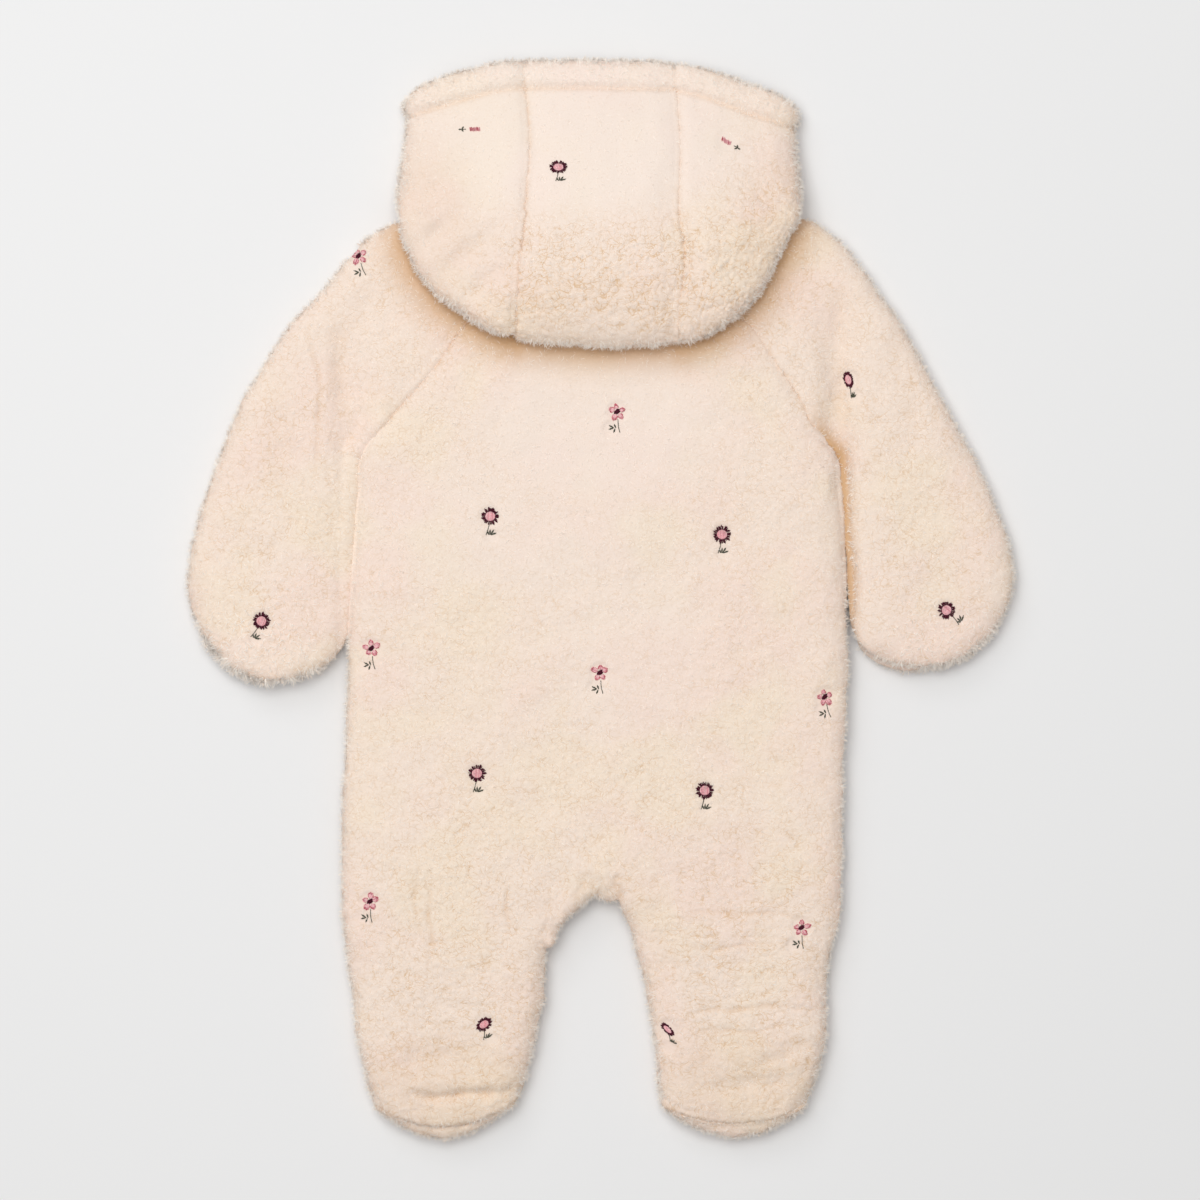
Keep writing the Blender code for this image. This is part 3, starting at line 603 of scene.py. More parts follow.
def paint(name, data, beside, creases, extra, fill, reach):
    """Paints a piece: brushed places, cracks, seams, creases, pressed flowers and painted shade.
    """
    at = places(data)
    shown = painted_values(data, "shown")
    brushed = regions(at, BRUSHED)
    pressed = np.zeros(len(at))
    for head, leaf in upper_flowers(name):
        to_head = np.hypot(*(at[:, :2] - head).T)
        to_leaf = np.hypot(*(at[:, :2] - leaf).T)
        close = np.maximum(
            1.0 - between(to_head, *HEAD_PRESSED), 1.0 - between(to_leaf, *LEAF_PRESSED))
        pressed = np.maximum(pressed, close * (HOOD_PRESSED if name in HOOD else 1.0))
    near = distances(at, beside, SEAM_REACH)
    dimples = np.ones(len(at))
    for index in np.flatnonzero(near < SEAM_DIMPLED):
        dimples[index] = 0.72 + 0.9 * noise.noise(Vector(at[index]) / DIMPLE_LENGTH)
    valley = np.exp(-(near / SEAM_WIDTH) ** 2)
    line = np.exp(-(near / SEAM_LINE) ** 2)
    crease, crease_shade = crease_sink(at, creases)
    fuller = regions(at, FULL_SEAMS)
    fill = fill * (1.0 + fuller)
    reach = reach * (1.0 + FULL_REACH * fuller)
    under = distances(at, () if name in HOOD else HOOD, 3.0 * HOOD_SHADE_WIDTH)
    # painted shade in creases and in the hem's stitch trough, by their depth
    crease_shade = np.maximum(crease_shade, np.clip(extra / FULL_SHADE_DEPTH, 0.0, 1.0))
    crease = crease + extra
    gap = regions(at, SHADED_GAPS)
    hidden = np.maximum(fuller, gap)
    # painted shade along the seam's line
    deep = SEAM_SHADE * np.clip(line * dimples, 0.0, 1.0) * (1.0 - HIDDEN_LINE * hidden)
    # painted shade in the gap beside the body
    if name == "sleeve_right":
        deep = np.maximum(deep, gap * np.exp(-(near / GAP_SHADE_WIDTH) ** 2))
    if name == "back_panel":
        rim = HIDDEN_LINE * hidden * np.exp(-(near / RIM_WIDTH) ** 2)
        brushed = np.maximum(brushed, rim)
    deep = np.maximum(deep, CREASE_SHADE * crease_shade)
    # painted shade on the feet and the hood's low sides
    deep = np.maximum(deep, regions(at, SHADED_PATCHES))
    # painted shadow under the hood's edge
    deep = np.maximum(deep, np.exp(-(under / HOOD_SHADE_WIDTH) ** 2))
    grown = np.maximum(PLUMP * shown, fill * (1.0 - between(near, FILL_START, reach)))
    sink = SEAM_SINK * valley * dimples + crease + FLOWER_SINK * pressed
    attribute(data, "brushed", brushed)
    attribute(data, "crackle", (0.9 + regions(at, CRACKLED)) * (1.0 - 0.8 * pressed))
    attribute(data, "lines", regions(at, LINED))
    attribute(data, "deep", deep)
    attribute(data, "sink", sink * shown - grown)


FLAT_PILE = 0.22e6          # loose fibres for each square metre on the flat
EDGE_PILE = 1.5e6           # and where the cloth turns away to its edge
FIBRE = 2.6 * MM
EDGE_FIBRE = 4.2 * MM
TUFT_LENGTH = 7.0 * MM      # fibres of one tuft lean the same way
LIGHT_SHARE, WARM_SHARE = 0.66, 0.34
FIBRE_LEAN = (-1.15, -0.45)
FIBRE_TURN = 0.7
FIBRE_SIZES = (0.55, 1.2)
BRUSHED_AWAY = 0.7          # the share of fibres that brushing lays down
SHADE_BARE = 0.85           # and that painted shade leaves out, so that the shade shows
SIDE_SLOPE = (0.25, 0.92)   # the normal's height where the cloth is all edge and all flat
UNDER_SLOPE = (-0.35, 0.05)
HEAD_BARE = (5.2 * MM, 7.0 * MM)
LEAF_BARE = (3.2 * MM, 5.0 * MM)


def fibre_blade():
    """One loose fibre, a metre long: a narrow ribbon that bends and comes to a point."""
    data = bpy.data.meshes.new("fibre")
    data.from_pydata(
        [(-0.045, 0.0, 0.0), (0.045, 0.0, 0.0), (-0.035, 0.16, 0.55), (0.035, 0.16, 0.55),
         (0.0, 0.46, 1.0)],
        [], [(0, 1, 3, 2), (2, 3, 4)],
    )
    data.shade_smooth()
    return link(data)


def loose_pile_tree():
    """Fibres that stand on the cloth where "fuzz" says, leaning together in tufts."""
    tree, given = geometry_tree(
        "loose pile", ("Fibre", "Object"), ("Light", "Material"), ("Warm", "Material"))
    place = node(tree, "GeometryNodeInputPosition").outputs[0]
    tuft = maths(tree, "MULTIPLY", grain(tree, place, TUFT_LENGTH, 1.0).outputs[0], 6.0 * pi)

    def uneven(low, high, seed):
        made = node(tree, "FunctionNodeRandomValue", data_type="FLOAT")
        made.inputs[2].default_value = low
        made.inputs[3].default_value = high
        made.inputs["Seed"].default_value = seed
        return made.outputs[1]

    joined = node(tree, "GeometryNodeJoinGeometry")
    for seed, share, colour in ((1, LIGHT_SHARE, "Light"), (2, WARM_SHARE, "Warm")):
        density = maths(tree, "MULTIPLY", named(tree, "fuzz"), share)
        scatter = node(tree, "GeometryNodeDistributePointsOnFaces")
        feed(tree, scatter.inputs["Mesh"], given["Geometry"])
        feed(tree, scatter.inputs["Density"], density)
        scatter.inputs["Seed"].default_value = seed
        turn = node(tree, "ShaderNodeCombineXYZ")
        spin = maths(tree, "ADD", tuft, uneven(-FIBRE_TURN, FIBRE_TURN, seed + 20))
        feed(tree, turn.inputs["X"], uneven(*FIBRE_LEAN, seed + 10))
        feed(tree, turn.inputs["Z"], spin)
        lean = node(tree, "FunctionNodeEulerToRotation")
        feed(tree, lean.inputs[0], turn.outputs[0])
        aim = node(tree, "FunctionNodeRotateRotation", rotation_space="LOCAL")
        feed(tree, aim.inputs[0], scatter.outputs["Rotation"])
        feed(tree, aim.inputs[1], lean.outputs[0])
        size = uneven(*FIBRE_SIZES, seed + 30)
        real = copies(
            tree, scatter.outputs["Points"], given["Fibre"], Rotation=aim.outputs[0],
            Scale=maths(tree, "MULTIPLY", named(tree, "length"), size),
        )
        tree.links.new(dressed(tree, real, given[colour]), joined.inputs[0])
    give(tree, joined.outputs[0])
    return tree


def fibre_material(name, colour):
    """Loose fibres: one even cream, because each is far thinner than any pattern."""
    return plain_material(
        name, Base_Color=(*colour, 1.0), Roughness=0.9, Specular_IOR_Level=0.1,
        Sheen_Weight=1.0,
    )[0]


loose_pile = loose_pile_tree()
light_fibre = fibre_material("pile_tips", (0.98, 0.92, 0.85))
warm_fibre = fibre_material("pile_roots", (0.96, 0.85, 0.75))


def loose_fibres(piece, name, long=(), extra=None):
    """The loose fibres of a piece: thick on its edges, thin on the flat, none on stitches.

    long lists places (x, y, radius, length) where the fibres are longer, and extra adds
    to their number at each point.
    """
    data = piece.data
    at, up = places(data), normals(data)[:, 2]
    shown, brushed = painted_values(data, "shown"), painted_values(data, "brushed")
    slope = (1.0 - between(up, *SIDE_SLOPE)) * between(up, *UNDER_SLOPE)
    fuzz = FLAT_PILE * (1.0 - BRUSHED_AWAY * brushed) + EDGE_PILE * slope
    fuzz *= 1.0 - SHADE_BARE * painted_values(data, "deep")
    if extra is not None:
        fuzz += EDGE_PILE * extra(at)
    length = FIBRE + (EDGE_FIBRE - FIBRE) * slope
    for x, y, radius, reach in long:
        close = 1.0 - between(np.hypot(at[:, 0] - x, at[:, 1] - y), 0.6 * radius, radius)
        length += (reach - length) * close * (0.3 + 0.7 * slope)
        fuzz += 0.5 * EDGE_PILE * close * slope
    for head, leaf in upper_flowers(piece.name):
        fuzz *= between(np.hypot(*(at[:, :2] - head).T), *HEAD_BARE)
        fuzz *= between(np.hypot(*(at[:, :2] - leaf).T), *LEAF_BARE)
    attribute(data, "fuzz", fuzz * shown)
    attribute(data, "length", length)
    blade = fibre_blade()
    made = applied(data.copy(), loose_pile, Fibre=blade, Light=light_fibre, Warm=warm_fibre)
    bpy.data.objects.remove(blade)
    made.name = name
    pile = link(made)
    pile.name = name
    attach(pile, "suit")
    return pile


def upper_flowers(name):
    """Where the head and the leaves of each flower lie on the upper side of this piece."""
    for flower in FLOWERS:
        if flower.side == 1 and name.startswith(flower.piece):
            head = np.array([flower.head_x, flower.head_y])
            leaf = np.array([flower.leaf_x, flower.leaf_y])
            yield head * MM, leaf * MM


def fleece_piece(
    name, beside=(), cell=CELL, creases=(), extra=None, fill=SEAM_FILL, reach=FILL_REACH,
):
    """One panel of fleece on its solid's form. beside names the panels sewn to it."""
    data = fine_cloth(name, cell)
    paint(name, data, beside, creases, extra(places(data)) if extra else 0.0, fill, reach)
    made = applied(data, pile_relief, Fleece=pile_fleece)
    made.name = name + "_fleece"
    piece = link(made)
    piece.name = name + "_fleece"
    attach(piece, "suit")
    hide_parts(name)
    return piece


# ---------------------------------------------------------------------------
# Embroidered flowers. They are stitched in rayon on the cut panels, before these are
# sewn: a round one, plum round a pink centre, and an open one of five pink petals. Each
# has a short stem and a sprig of three leaves, and presses the pile down under it.

# Place of each head and of its sprig, in mm. side is 1 on the back and -1 on the front.
# squeeze is how narrow a flower looks where the cloth under it is bunched up, and across
# the direction, in degrees, in which it is narrowed.
Flower = namedtuple(
    "Flower", "piece kind head_x head_y leaf_x leaf_y side squeeze across", defaults=(1.0, 0.0),
)
FLOWERS = (
    Flower("hood_left", "bud", -81.6, 304.5, -90.0, 304.5, 1),
    Flower("hood_centre", "round", -27.6, 279.2, -25.7, 268.7, 1, 0.75, 90.0),
    Flower("hood_right", "bud", 80.3, 296.7, 90.7, 290.2, 1),
    Flower("sleeve_left", "open", -157.0, 224.0, -158.5, 214.0, 1),
    Flower("sleeve_right", "round", 159.5, 144.0, 164.0, 133.0, 1, 0.55, 15.0),
    Flower("back_panel", "open", 10.1, 123.2, 5.5, 112.1, 1),
    Flower("back_panel", "round", -71.8, 55.6, -70.5, 42.6, 1),
    Flower("back_panel", "round", 77.7, 43.9, 79.0, 32.2, 1),
    Flower("sleeve_left", "round", -219.4, -12.0, -222.6, -23.1, 1),
    Flower("sleeve_right", "round", 222.6, -4.9, 231.1, -10.1, 1),
    Flower("back_panel", "open", -148.5, -29.6, -152.4, -40.6, 1),
    Flower("back_panel", "open", -1.0, -45.2, -4.9, -54.9, 1),
    Flower("back_panel", "open", 144.0, -60.8, 142.0, -69.2, 1),
    Flower("back_panel", "round", -80.3, -110.2, -79.0, -121.2, 1),
    Flower("back_panel", "round", 66.6, -121.2, 67.9, -131.6, 1),
    Flower("back_panel", "open", -149.2, -192.7, -153.7, -202.5, 1),
    Flower("back_panel", "open", 129.0, -209.6, 123.8, -220.7, 1),
    Flower("back_panel", "round", -75.7, -272.0, -71.0, -282.0, 1, 0.72, -52.0),
    Flower("back_panel", "round", 42.6, -275.3, 43.9, -287.0, 1, 0.42, 45.0),
    Flower("front_left", "round", -95.0, 120.0, -93.0, 108.0, -1),
    Flower("front_left", "open", -70.0, 20.0, -73.0, 9.0, -1),
    Flower("front_left", "round", -110.0, -80.0, -108.0, -92.0, -1),
    Flower("front_left", "open", -85.0, -220.0, -88.0, -231.0, -1),
    Flower("front_right", "open", 95.0, 110.0, 92.0, 99.0, -1),
    Flower("front_right", "round", 70.0, 0.0, 72.0, -12.0, -1),
    Flower("front_right", "open", 110.0, -95.0, 107.0, -106.0, -1),
    Flower("front_right", "round", 88.0, -230.0, 90.0, -242.0, -1),
    Flower("sleeve_left", "open", -205.0, 60.0, -208.0, 49.0, -1),
    Flower("sleeve_right", "open", 205.0, 60.0, 202.0, 49.0, -1),
)
FLOWER_SINK = 1.2 * MM
THREAD = 0.47 * MM          # a stitch's thickness
LONGEST_STITCH = 12.0 * MM
RAISED, LEAF_RAISED = 0.4 * MM, 0.3 * MM
RING_OUT, RING_IN = 5.3, 3.1            # the round flower, in mm
RING_STITCHES, SPIKES = 66, 11
SPIKE_START = 4.2
CENTRE_RADIUS, CENTRE_PITCH = 3.3, 0.38
PETALS, PETAL_LENGTH = 5, 5.7           # the open flower
PETAL_PITCH, HEART_PITCH = 0.40, 0.36
BUD_HALF, BUD_PITCH = 3.2, 0.62         # the bud

PLUM = (0.070, 0.003, 0.016)
DARK_PINK = (0.60, 0.15, 0.19)
PINK = (0.84, 0.38, 0.42)
PALE_PINK = (0.91, 0.52, 0.54)
LEAF = (0.085, 0.090, 0.062)

chance = np.random.default_rng(7)


def ends_from(start, way, length):
    return start, (start[0] + length * cos(way), start[1] + length * sin(way))


def round_head():
    """Stitches (colour, start, end) of the round flower, in mm about its centre."""
    made = []
    for turn in np.arange(0.0, 2.0 * pi, 2.0 * pi / RING_STITCHES):
        out = RING_OUT + 0.3 * sin(7.0 * turn) + chance.uniform(-0.55, 0.45)
        way = turn + chance.uniform(-0.18, 0.18)
        start = (RING_IN * cos(turn), RING_IN * sin(turn))
        made.append((PLUM, start, (out * cos(way), out * sin(way))))
    for turn in np.arange(0.0, 2.0 * pi, 2.0 * pi / SPIKES):
        way = turn + chance.uniform(-0.3, 0.3)
        long = chance.uniform(1.3, 2.3)
        for side in (-0.07, 0.0, 0.07):
            start = (SPIKE_START * cos(turn + side), SPIKE_START * sin(turn + side))
            made.append((PLUM, *ends_from(start, way, long * (1.0 - 4.0 * abs(side)))))
    for x in np.arange(-CENTRE_RADIUS + 0.15, CENTRE_RADIUS, CENTRE_PITCH):
        half = (CENTRE_RADIUS ** 2 - x * x) ** 0.5
        colour = PINK if chance.random() < 0.3 else PALE_PINK
        made.append((colour, (x, -half), (x + chance.uniform(-0.25, 0.25), half)))
    return made


def open_head():
    """The open flower: five petals of long and short stitch round a small plum heart."""
    made = []
    for petal in range(PETALS):
        way = petal * 0.4 * pi + 0.35 + chance.uniform(-0.2, 0.2)
        far = PETAL_LENGTH + chance.uniform(-0.9, 0.8)
        wide = chance.uniform(1.6, 2.2)
        for side in np.arange(-wide, wide + 0.1, PETAL_PITCH):
            edge = abs(side) > wide - 0.35
            tip = far - 1.7 * (side / wide) ** 2 + chance.uniform(-0.35, 0.35)
            turn_in = tip - chance.uniform(0.6, 1.5)
            inner = DARK_PINK if edge or chance.random() < 0.12 else PALE_PINK
            outer = DARK_PINK if chance.random() < 0.6 else PINK
            begin = 1.4 + 0.6 * abs(side)
            for colour, low, high in ((inner, begin, turn_in), (outer, turn_in, tip)):
                ends = []
                for reach in (low, high):
                    across = side * (0.5 + 0.5 * reach / far)
                    ends.append((
                        reach * cos(way) - across * sin(way),
                        reach * sin(way) + across * cos(way),
                    ))
                made.append((colour, *ends))
    for side in np.arange(-1.8, 1.9, HEART_PITCH):
        half = 1.6 * (1.0 - (side / 2.1) ** 2) ** 0.5 + chance.uniform(-0.2, 0.4)
        made.append((PLUM, (side - 0.2, 0.35 * side - half), (side + 0.2, 0.35 * side + half)))
    return made


def bud_head():
    """A small flower on the brushed hood, of which only loose pink stitches stand out."""
    made = []
    for along in np.arange(-BUD_HALF, BUD_HALF + 0.1, BUD_PITCH):
        lean = chance.uniform(-0.4, 0.4)
        colour = DARK_PINK if chance.random() < 0.35 else PINK
        made.append((colour, (-1.3 + lean, along), (1.3 + lean, along + 0.5)))
    return made


# A sprig below its flower's centre, in mm: the leaves, each from its root to its tip, and
# the stem's two ends with the place where it bends between them.
LEAVES = {
    "round": (
        (0.3, -11.9, 0.5, -8.5), (0.8, -11.9, 2.9, -8.4), (1.0, -12.0, 4.6, -10.4),
        (-0.2, -12.0, -1.5, -9.5),
    ),
    "open": (
        (-2.4, -10.6, -5.6, -8.5), (-2.7, -10.6, -5.9, -11.3), (-1.6, -10.9, -2.8, -13.6),
        (-1.2, -10.6, -2.1, -8.0),
    ),
    "bud": ((0.0, -8.4, -1.7, -7.0), (0.2, -8.4, 1.6, -7.2), (0.0, -8.6, 0.3, -10.4)),
}
STEM = {
    "round": ((-0.3, -4.8), (-1.0, -8.6), (-2.1, -12.2)),
    "open": ((0.3, -5.0), (0.5, -10.0), (1.4, -13.6)),
    "bud": ((0.0, -5.6), (0.1, -7.0), (0.2, -8.4)),
}
STEM_STITCHES = 3           # on each side of the bend
LEAN = {"round": 0.15, "open": -0.42, "bud": 0.0}


def sprig(kind):
    """A thin curved stem and its leaves, each leaf of three close stitches."""
    made = []
    for start, end in zip(STEM[kind], STEM[kind][1:]):
        shares = np.linspace(0.0, 1.0, STEM_STITCHES + 1)
        marks = [np.add(start, np.subtract(end, start) * share) for share in shares]
        made += [(LEAF, tuple(low), tuple(high)) for low, high in zip(marks, marks[1:])]
    for x, y, tip_x, tip_y in LEAVES[kind]:
        out_x, out_y = tip_x - x, tip_y - y
        long = (out_x ** 2 + out_y ** 2) ** 0.5
        for side in (-0.36, 0.0, 0.36):
            short = 1.0 - 0.8 * abs(side) * chance.uniform(0.5, 1.3)
            end_x = x + out_x * short - side * out_y / long
            end_y = y + out_y * short + side * out_x / long
            made.append((LEAF, (x, y), (end_x, end_y)))
    return made


def thread_tree():
    """A thread on each point, along its "aim" and as long as that is."""
    tree, given = geometry_tree(
        "embroidery stitches", ("Thread", "Object"), ("Rayon", "Material"))
    aim = named(tree, "aim", "FLOAT_VECTOR")
    align = node(tree, "FunctionNodeAlignRotationToVector", axis="X")
    feed(tree, align.inputs["Vector"], aim)
    long = node(tree, "ShaderNodeVectorMath", operation="LENGTH")
    feed(tree, long.inputs[0], aim)
    size = node(tree, "ShaderNodeCombineXYZ")
    feed(tree, size.inputs["X"], long.outputs["Value"])
    size.inputs["Y"].default_value = THREAD
    size.inputs["Z"].default_value = THREAD
    real = copies(
        tree, given["Geometry"], given["Thread"], Rotation=align.outputs[0],
        Scale=size.outputs[0],
    )
    give(tree, dressed(tree, real, given["Rayon"]))
    return tree


def outward(mesh, name):
    """The finished mesh under this name, with its normals outward."""
    bmesh.ops.recalc_face_normals(mesh, faces=mesh.faces)
    data = bpy.data.meshes.new(name)
    mesh.to_mesh(data)
    mesh.free()
    return data


def thread_piece():
    """One stitch: a closed thread along x, a metre long and thick, drawn in at its ends."""
    mesh = bmesh.new()
    rings = []
    for x, radius in ((-0.5, 0.25), (-0.36, 0.56), (0.36, 0.56), (0.5, 0.25)):
        ring = [(x, radius * cos(turn), radius * sin(turn)) for turn in np.arange(4) * 0.5 * pi]
        rings.append([mesh.verts.new(point) for point in ring])
    for ring, following in zip(rings, rings[1:]):
        for index in range(4):
            after = (index + 1) % 4
            mesh.faces.new([ring[index], ring[after], following[after], following[index]])
    mesh.faces.new(rings[0][::-1])
    mesh.faces.new(rings[-1])
    data = outward(mesh, "thread")
    data.shade_smooth()
    return link(data)


def object_place(tree):
    return node(tree, "ShaderNodeTexCoord").outputs["Object"]


def rayon(name, colour):
    """Embroidery rayon: a twisted thread with a silky gloss along its sides."""
    finish, tree, shader = plain_material(name, Roughness=0.55, Specular_IOR_Level=0.2)
    tone = grain(tree, object_place(tree), 0.5 * MM).outputs[0]
    darker = tuple(0.72 * part for part in colour)
    lighter = tuple(min(1.15 * part, 1.0) for part in colour)
    tint = mixed(tree, ramp(tree, tone, 0.3, 0.7), darker, lighter)
    feed(tree, shader["Base Color"], tint)
    return finish


embroidery_stitches = thread_tree()
THREADS = {
    PLUM: rayon("plum_thread", PLUM),
    PINK: rayon("pink_thread", PINK),
    DARK_PINK: rayon("dark_pink_thread", DARK_PINK),
    PALE_PINK: rayon("pale_pink_thread", PALE_PINK),
    LEAF: rayon("leaf_thread", LEAF),
}
HEADS = {"round": round_head, "open": open_head, "bud": bud_head}


def embroider(piece, name):
    """Stitches this piece's flowers onto it, following its surface, as one mesh."""
    tree = BVHTree.FromObject(piece, bpy.context.evaluated_depsgraph_get())
    stitches = {colour: [] for colour in THREADS}
    for flower in FLOWERS:
        if flower.piece + "_fleece" != piece.name:
            continue
        head = np.array([flower.head_x, flower.head_y])
        down = np.array([flower.leaf_x, flower.leaf_y]) - head
        turn = LEAN[flower.kind]
        down = np.array([
            down[0] * cos(turn) + down[1] * sin(turn),
            down[1] * cos(turn) - down[0] * sin(turn),
        ])
        down /= np.hypot(*down)
        right = np.array([-down[1], down[0]])
        narrow = np.array([cos(radians(flower.across)), sin(radians(flower.across))])
        parts = HEADS[flower.kind]()
        parts += sprig(flower.kind)
        for colour, start, end in parts:
            ends = []
            for x, y in (start, end):
                off = right * x - down * y
                off -= (1.0 - flower.squeeze) * (off @ narrow) * narrow
                spot = (head + off) * MM
                above = Vector((spot[0], spot[1], 0.1 * flower.side))
                hit = tree.ray_cast(above, Vector((0.0, 0.0, -float(flower.side))))[0]
                if hit is not None:
                    ends.append(hit)
            if len(ends) == 2 and (ends[0] - ends[1]).length < LONGEST_STITCH:
                height = LEAF_RAISED if colour == LEAF else RAISED
                middle = 0.5 * (ends[0] + ends[1]) + height * flower.side * UP
                stitches[colour].append((middle, ends[1] - ends[0]))
    thread = thread_piece()
    joined = bmesh.new()
    slots = []
    for colour, found in stitches.items():
        if not found:
            continue
        data = bpy.data.meshes.new("stitches")
        data.from_pydata([place for place, _ in found], [], [])
        layer = data.attributes.new("aim", "FLOAT_VECTOR", "POINT")
        layer.data.foreach_set("vector", [part for _, aim in found for part in aim])
        made = applied(data, embroidery_stitches, Thread=thread, Rayon=THREADS[colour])
        before = len(joined.faces)
        joined.from_mesh(made)
        joined.faces.ensure_lookup_table()
        for face in joined.faces[before:]:
            face.material_index = len(slots)
            face.smooth = True
        slots.append(THREADS[colour])
    bpy.data.objects.remove(thread)
    data = bpy.data.meshes.new(name)
    joined.to_mesh(data)
    joined.free()
    for finish in slots:
        data.materials.append(finish)
    work = link(data)
    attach(work, "suit")
    return work


# ---------------------------------------------------------------------------
# Front halves. Each is one panel of the same fleece, with its leg, from the neck down to
# the sole. The suit lies on them, so their pile is pressed flat below.

FRONT_CELL = 9.0 * MM       # coarser, since little of them shows

for side in ("left", "right"):
    front = fleece_piece("front_" + side, cell=FRONT_CELL)
    flowers = embroider(front, "front_" + side + "_flowers")
    pile = loose_fibres(front, "front_" + side + "_pile")

# ---------------------------------------------------------------------------
# Zip. Two woven tapes with a closed chain of moulded teeth, sewn between the front edges.
# The slider and its pull are nickel-plated, and lie at the neck, below the chain.

ZIP_TOP, ZIP_END = 240.0 * MM, -104.0 * MM
TOOTH_PITCH = 2.0 * MM
RIB = 0.06 * MM
RIB_PITCH = 1.0 * MM
# Half of the tapes' section: a flat tape with a corded edge beside the chain.
TAPE_SECTION = (
    (0.30, 9.85), (0.30, 8.90), (1.00, 8.55), (1.90, 8.65), (2.30, 8.98), (12.45, 8.95),
    (12.45, 9.90), (2.30, 9.92), (1.60, 10.00),
)
TAPE_LOWER = range(1, 6)    # the section's points on the tape's lower side
TAPE_EDGE = (0, 8)          # and those beside the chain, where there is no rib
# A tooth seen from the front: a head that the next two hold, and a shank on the cord.
TOOTH_OUTLINE = (
    (-0.75, -0.40), (-0.40, -0.62), (0.15, -0.62), (0.45, -0.38), (2.35, -0.42),
    (2.35, 0.42), (0.45, 0.38), (0.15, 0.62), (-0.40, 0.62), (-0.75, 0.40),
)
TOOTH_LOW, TOOTH_HIGH = 6.95 * MM, 8.80 * MM


def tape_mesh():
    """Both tapes, closed, with a fine rib across for every third pick of the weave."""
    mesh = bmesh.new()
    steps = int((ZIP_TOP - ZIP_END) / RIB_PITCH)
    for side in (1.0, -1.0):
        rings = []
        for step in range(steps + 1):
            y = ZIP_TOP + (ZIP_END - ZIP_TOP) * step / steps
            rib = RIB * (1.0 if step % 2 else -1.0)
            ring = []
            for index, (x, z) in enumerate(TAPE_SECTION):
                out = rib * (-1.0 if index in TAPE_LOWER else 1.0) * (index not in TAPE_EDGE)
                ring.append(mesh.verts.new((side * x * MM, y, z * MM + 0.5 * out)))
            rings.append(ring)
        count = len(TAPE_SECTION)
        for ring, following in zip(rings, rings[1:]):
            for index in range(count):
                after = (index + 1) % count
                mesh.faces.new((ring[index], following[index], following[after], ring[after]))
        mesh.faces.new(rings[0])
        mesh.faces.new(rings[-1][::-1])
    return outward(mesh, "zip_tapes")


def tooth_mesh():
    """One tooth of the chain, its outline drawn up from its lower to its upper face."""
    mesh = bmesh.new()
    low = [mesh.verts.new((x * MM, y * MM, TOOTH_LOW)) for x, y in TOOTH_OUTLINE]
    high = [mesh.verts.new((x * MM, y * MM, TOOTH_HIGH)) for x, y in TOOTH_OUTLINE]
    for index in range(len(low)):
        after = (index + 1) % len(low)
        mesh.faces.new((low[index], low[after], high[after], high[index]))
    mesh.faces.new(low[::-1])
    mesh.faces.new(high)
    return outward(mesh, "tooth")


def teeth_tree():
    """A tooth on each point, turned about the vertical by the point's "turn"."""
    tree, given = geometry_tree("zip teeth", ("Tooth", "Object"), ("Resin", "Material"))
    about = node(tree, "ShaderNodeCombineXYZ")
    feed(tree, about.inputs["Z"], named(tree, "turn"))
    aim = node(tree, "FunctionNodeEulerToRotation")
    feed(tree, aim.inputs[0], about.outputs[0])
    real = copies(tree, given["Geometry"], given["Tooth"], Rotation=aim.outputs[0])
    give(tree, dressed(tree, real, given["Resin"]))
    return tree


def woven_tape():
    """Cream polyester tape, woven twill, with a slight shine on its floats."""
    finish, tree, shader = plain_material("woven_tape", Roughness=0.75, Sheen_Weight=0.15)
    turned = node(tree, "ShaderNodeMapping")
    feed(tree, turned.inputs["Vector"], object_place(tree))
    turned.inputs["Rotation"].default_value = (0.0, 0.0, radians(38.0))
    twill = node(tree, "ShaderNodeTexWave", wave_type="BANDS", bands_direction="X")
    feed(tree, twill.inputs["Vector"], turned.outputs[0])
    twill.inputs["Scale"].default_value = 0.32 / (0.9 * MM)
    twill.inputs["Distortion"].default_value = 0.8
    floats = twill.outputs["Fac"]
    tint = mixed(tree, floats, (0.62, 0.52, 0.42), (0.80, 0.71, 0.61))
    feed(tree, shader["Base Color"], tint)
    bumped(tree, shader, floats, 0.4, 0.15 * MM)
    return finish


def resin_teeth():
    """Moulded cream resin, satin, barely uneven in colour."""
    finish, tree, shader = plain_material("resin_teeth", Roughness=0.38)
    tone = grain(tree, object_place(tree), 6.0 * MM).outputs[0]
    tint = mixed(tree, ramp(tree, tone, 0.3, 0.7), (0.78, 0.68, 0.57), (0.84, 0.75, 0.65))
    feed(tree, shader["Base Color"], tint)
    return finish


def satin_nickel():
    """Nickel plate on zinc, brushed along the tab, a little duller in its brush lines."""
    finish, tree, shader = plain_material("satin_nickel", Metallic=1.0)
    drawn = vectors(tree, "MULTIPLY", object_place(tree), (1.0, 0.04, 1.0))
    lines = grain(tree, drawn, 0.25 * MM, 3.0).outputs[0]
    tint = mixed(tree, ramp(tree, lines, 0.35, 0.65), (0.60, 0.58, 0.55), (0.68, 0.66, 0.63))
    feed(tree, shader["Base Color"], tint)
    feed(tree, shader["Roughness"], ramp(tree, lines, 0.35, 0.65, 0.42, 0.28))
    bumped(tree, shader, lines, 0.15, 0.05 * MM)
    return finish


tapes = link(tape_mesh())
tapes.data.materials.append(woven_tape())
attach(tapes, "suit")
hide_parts("zip_tape")

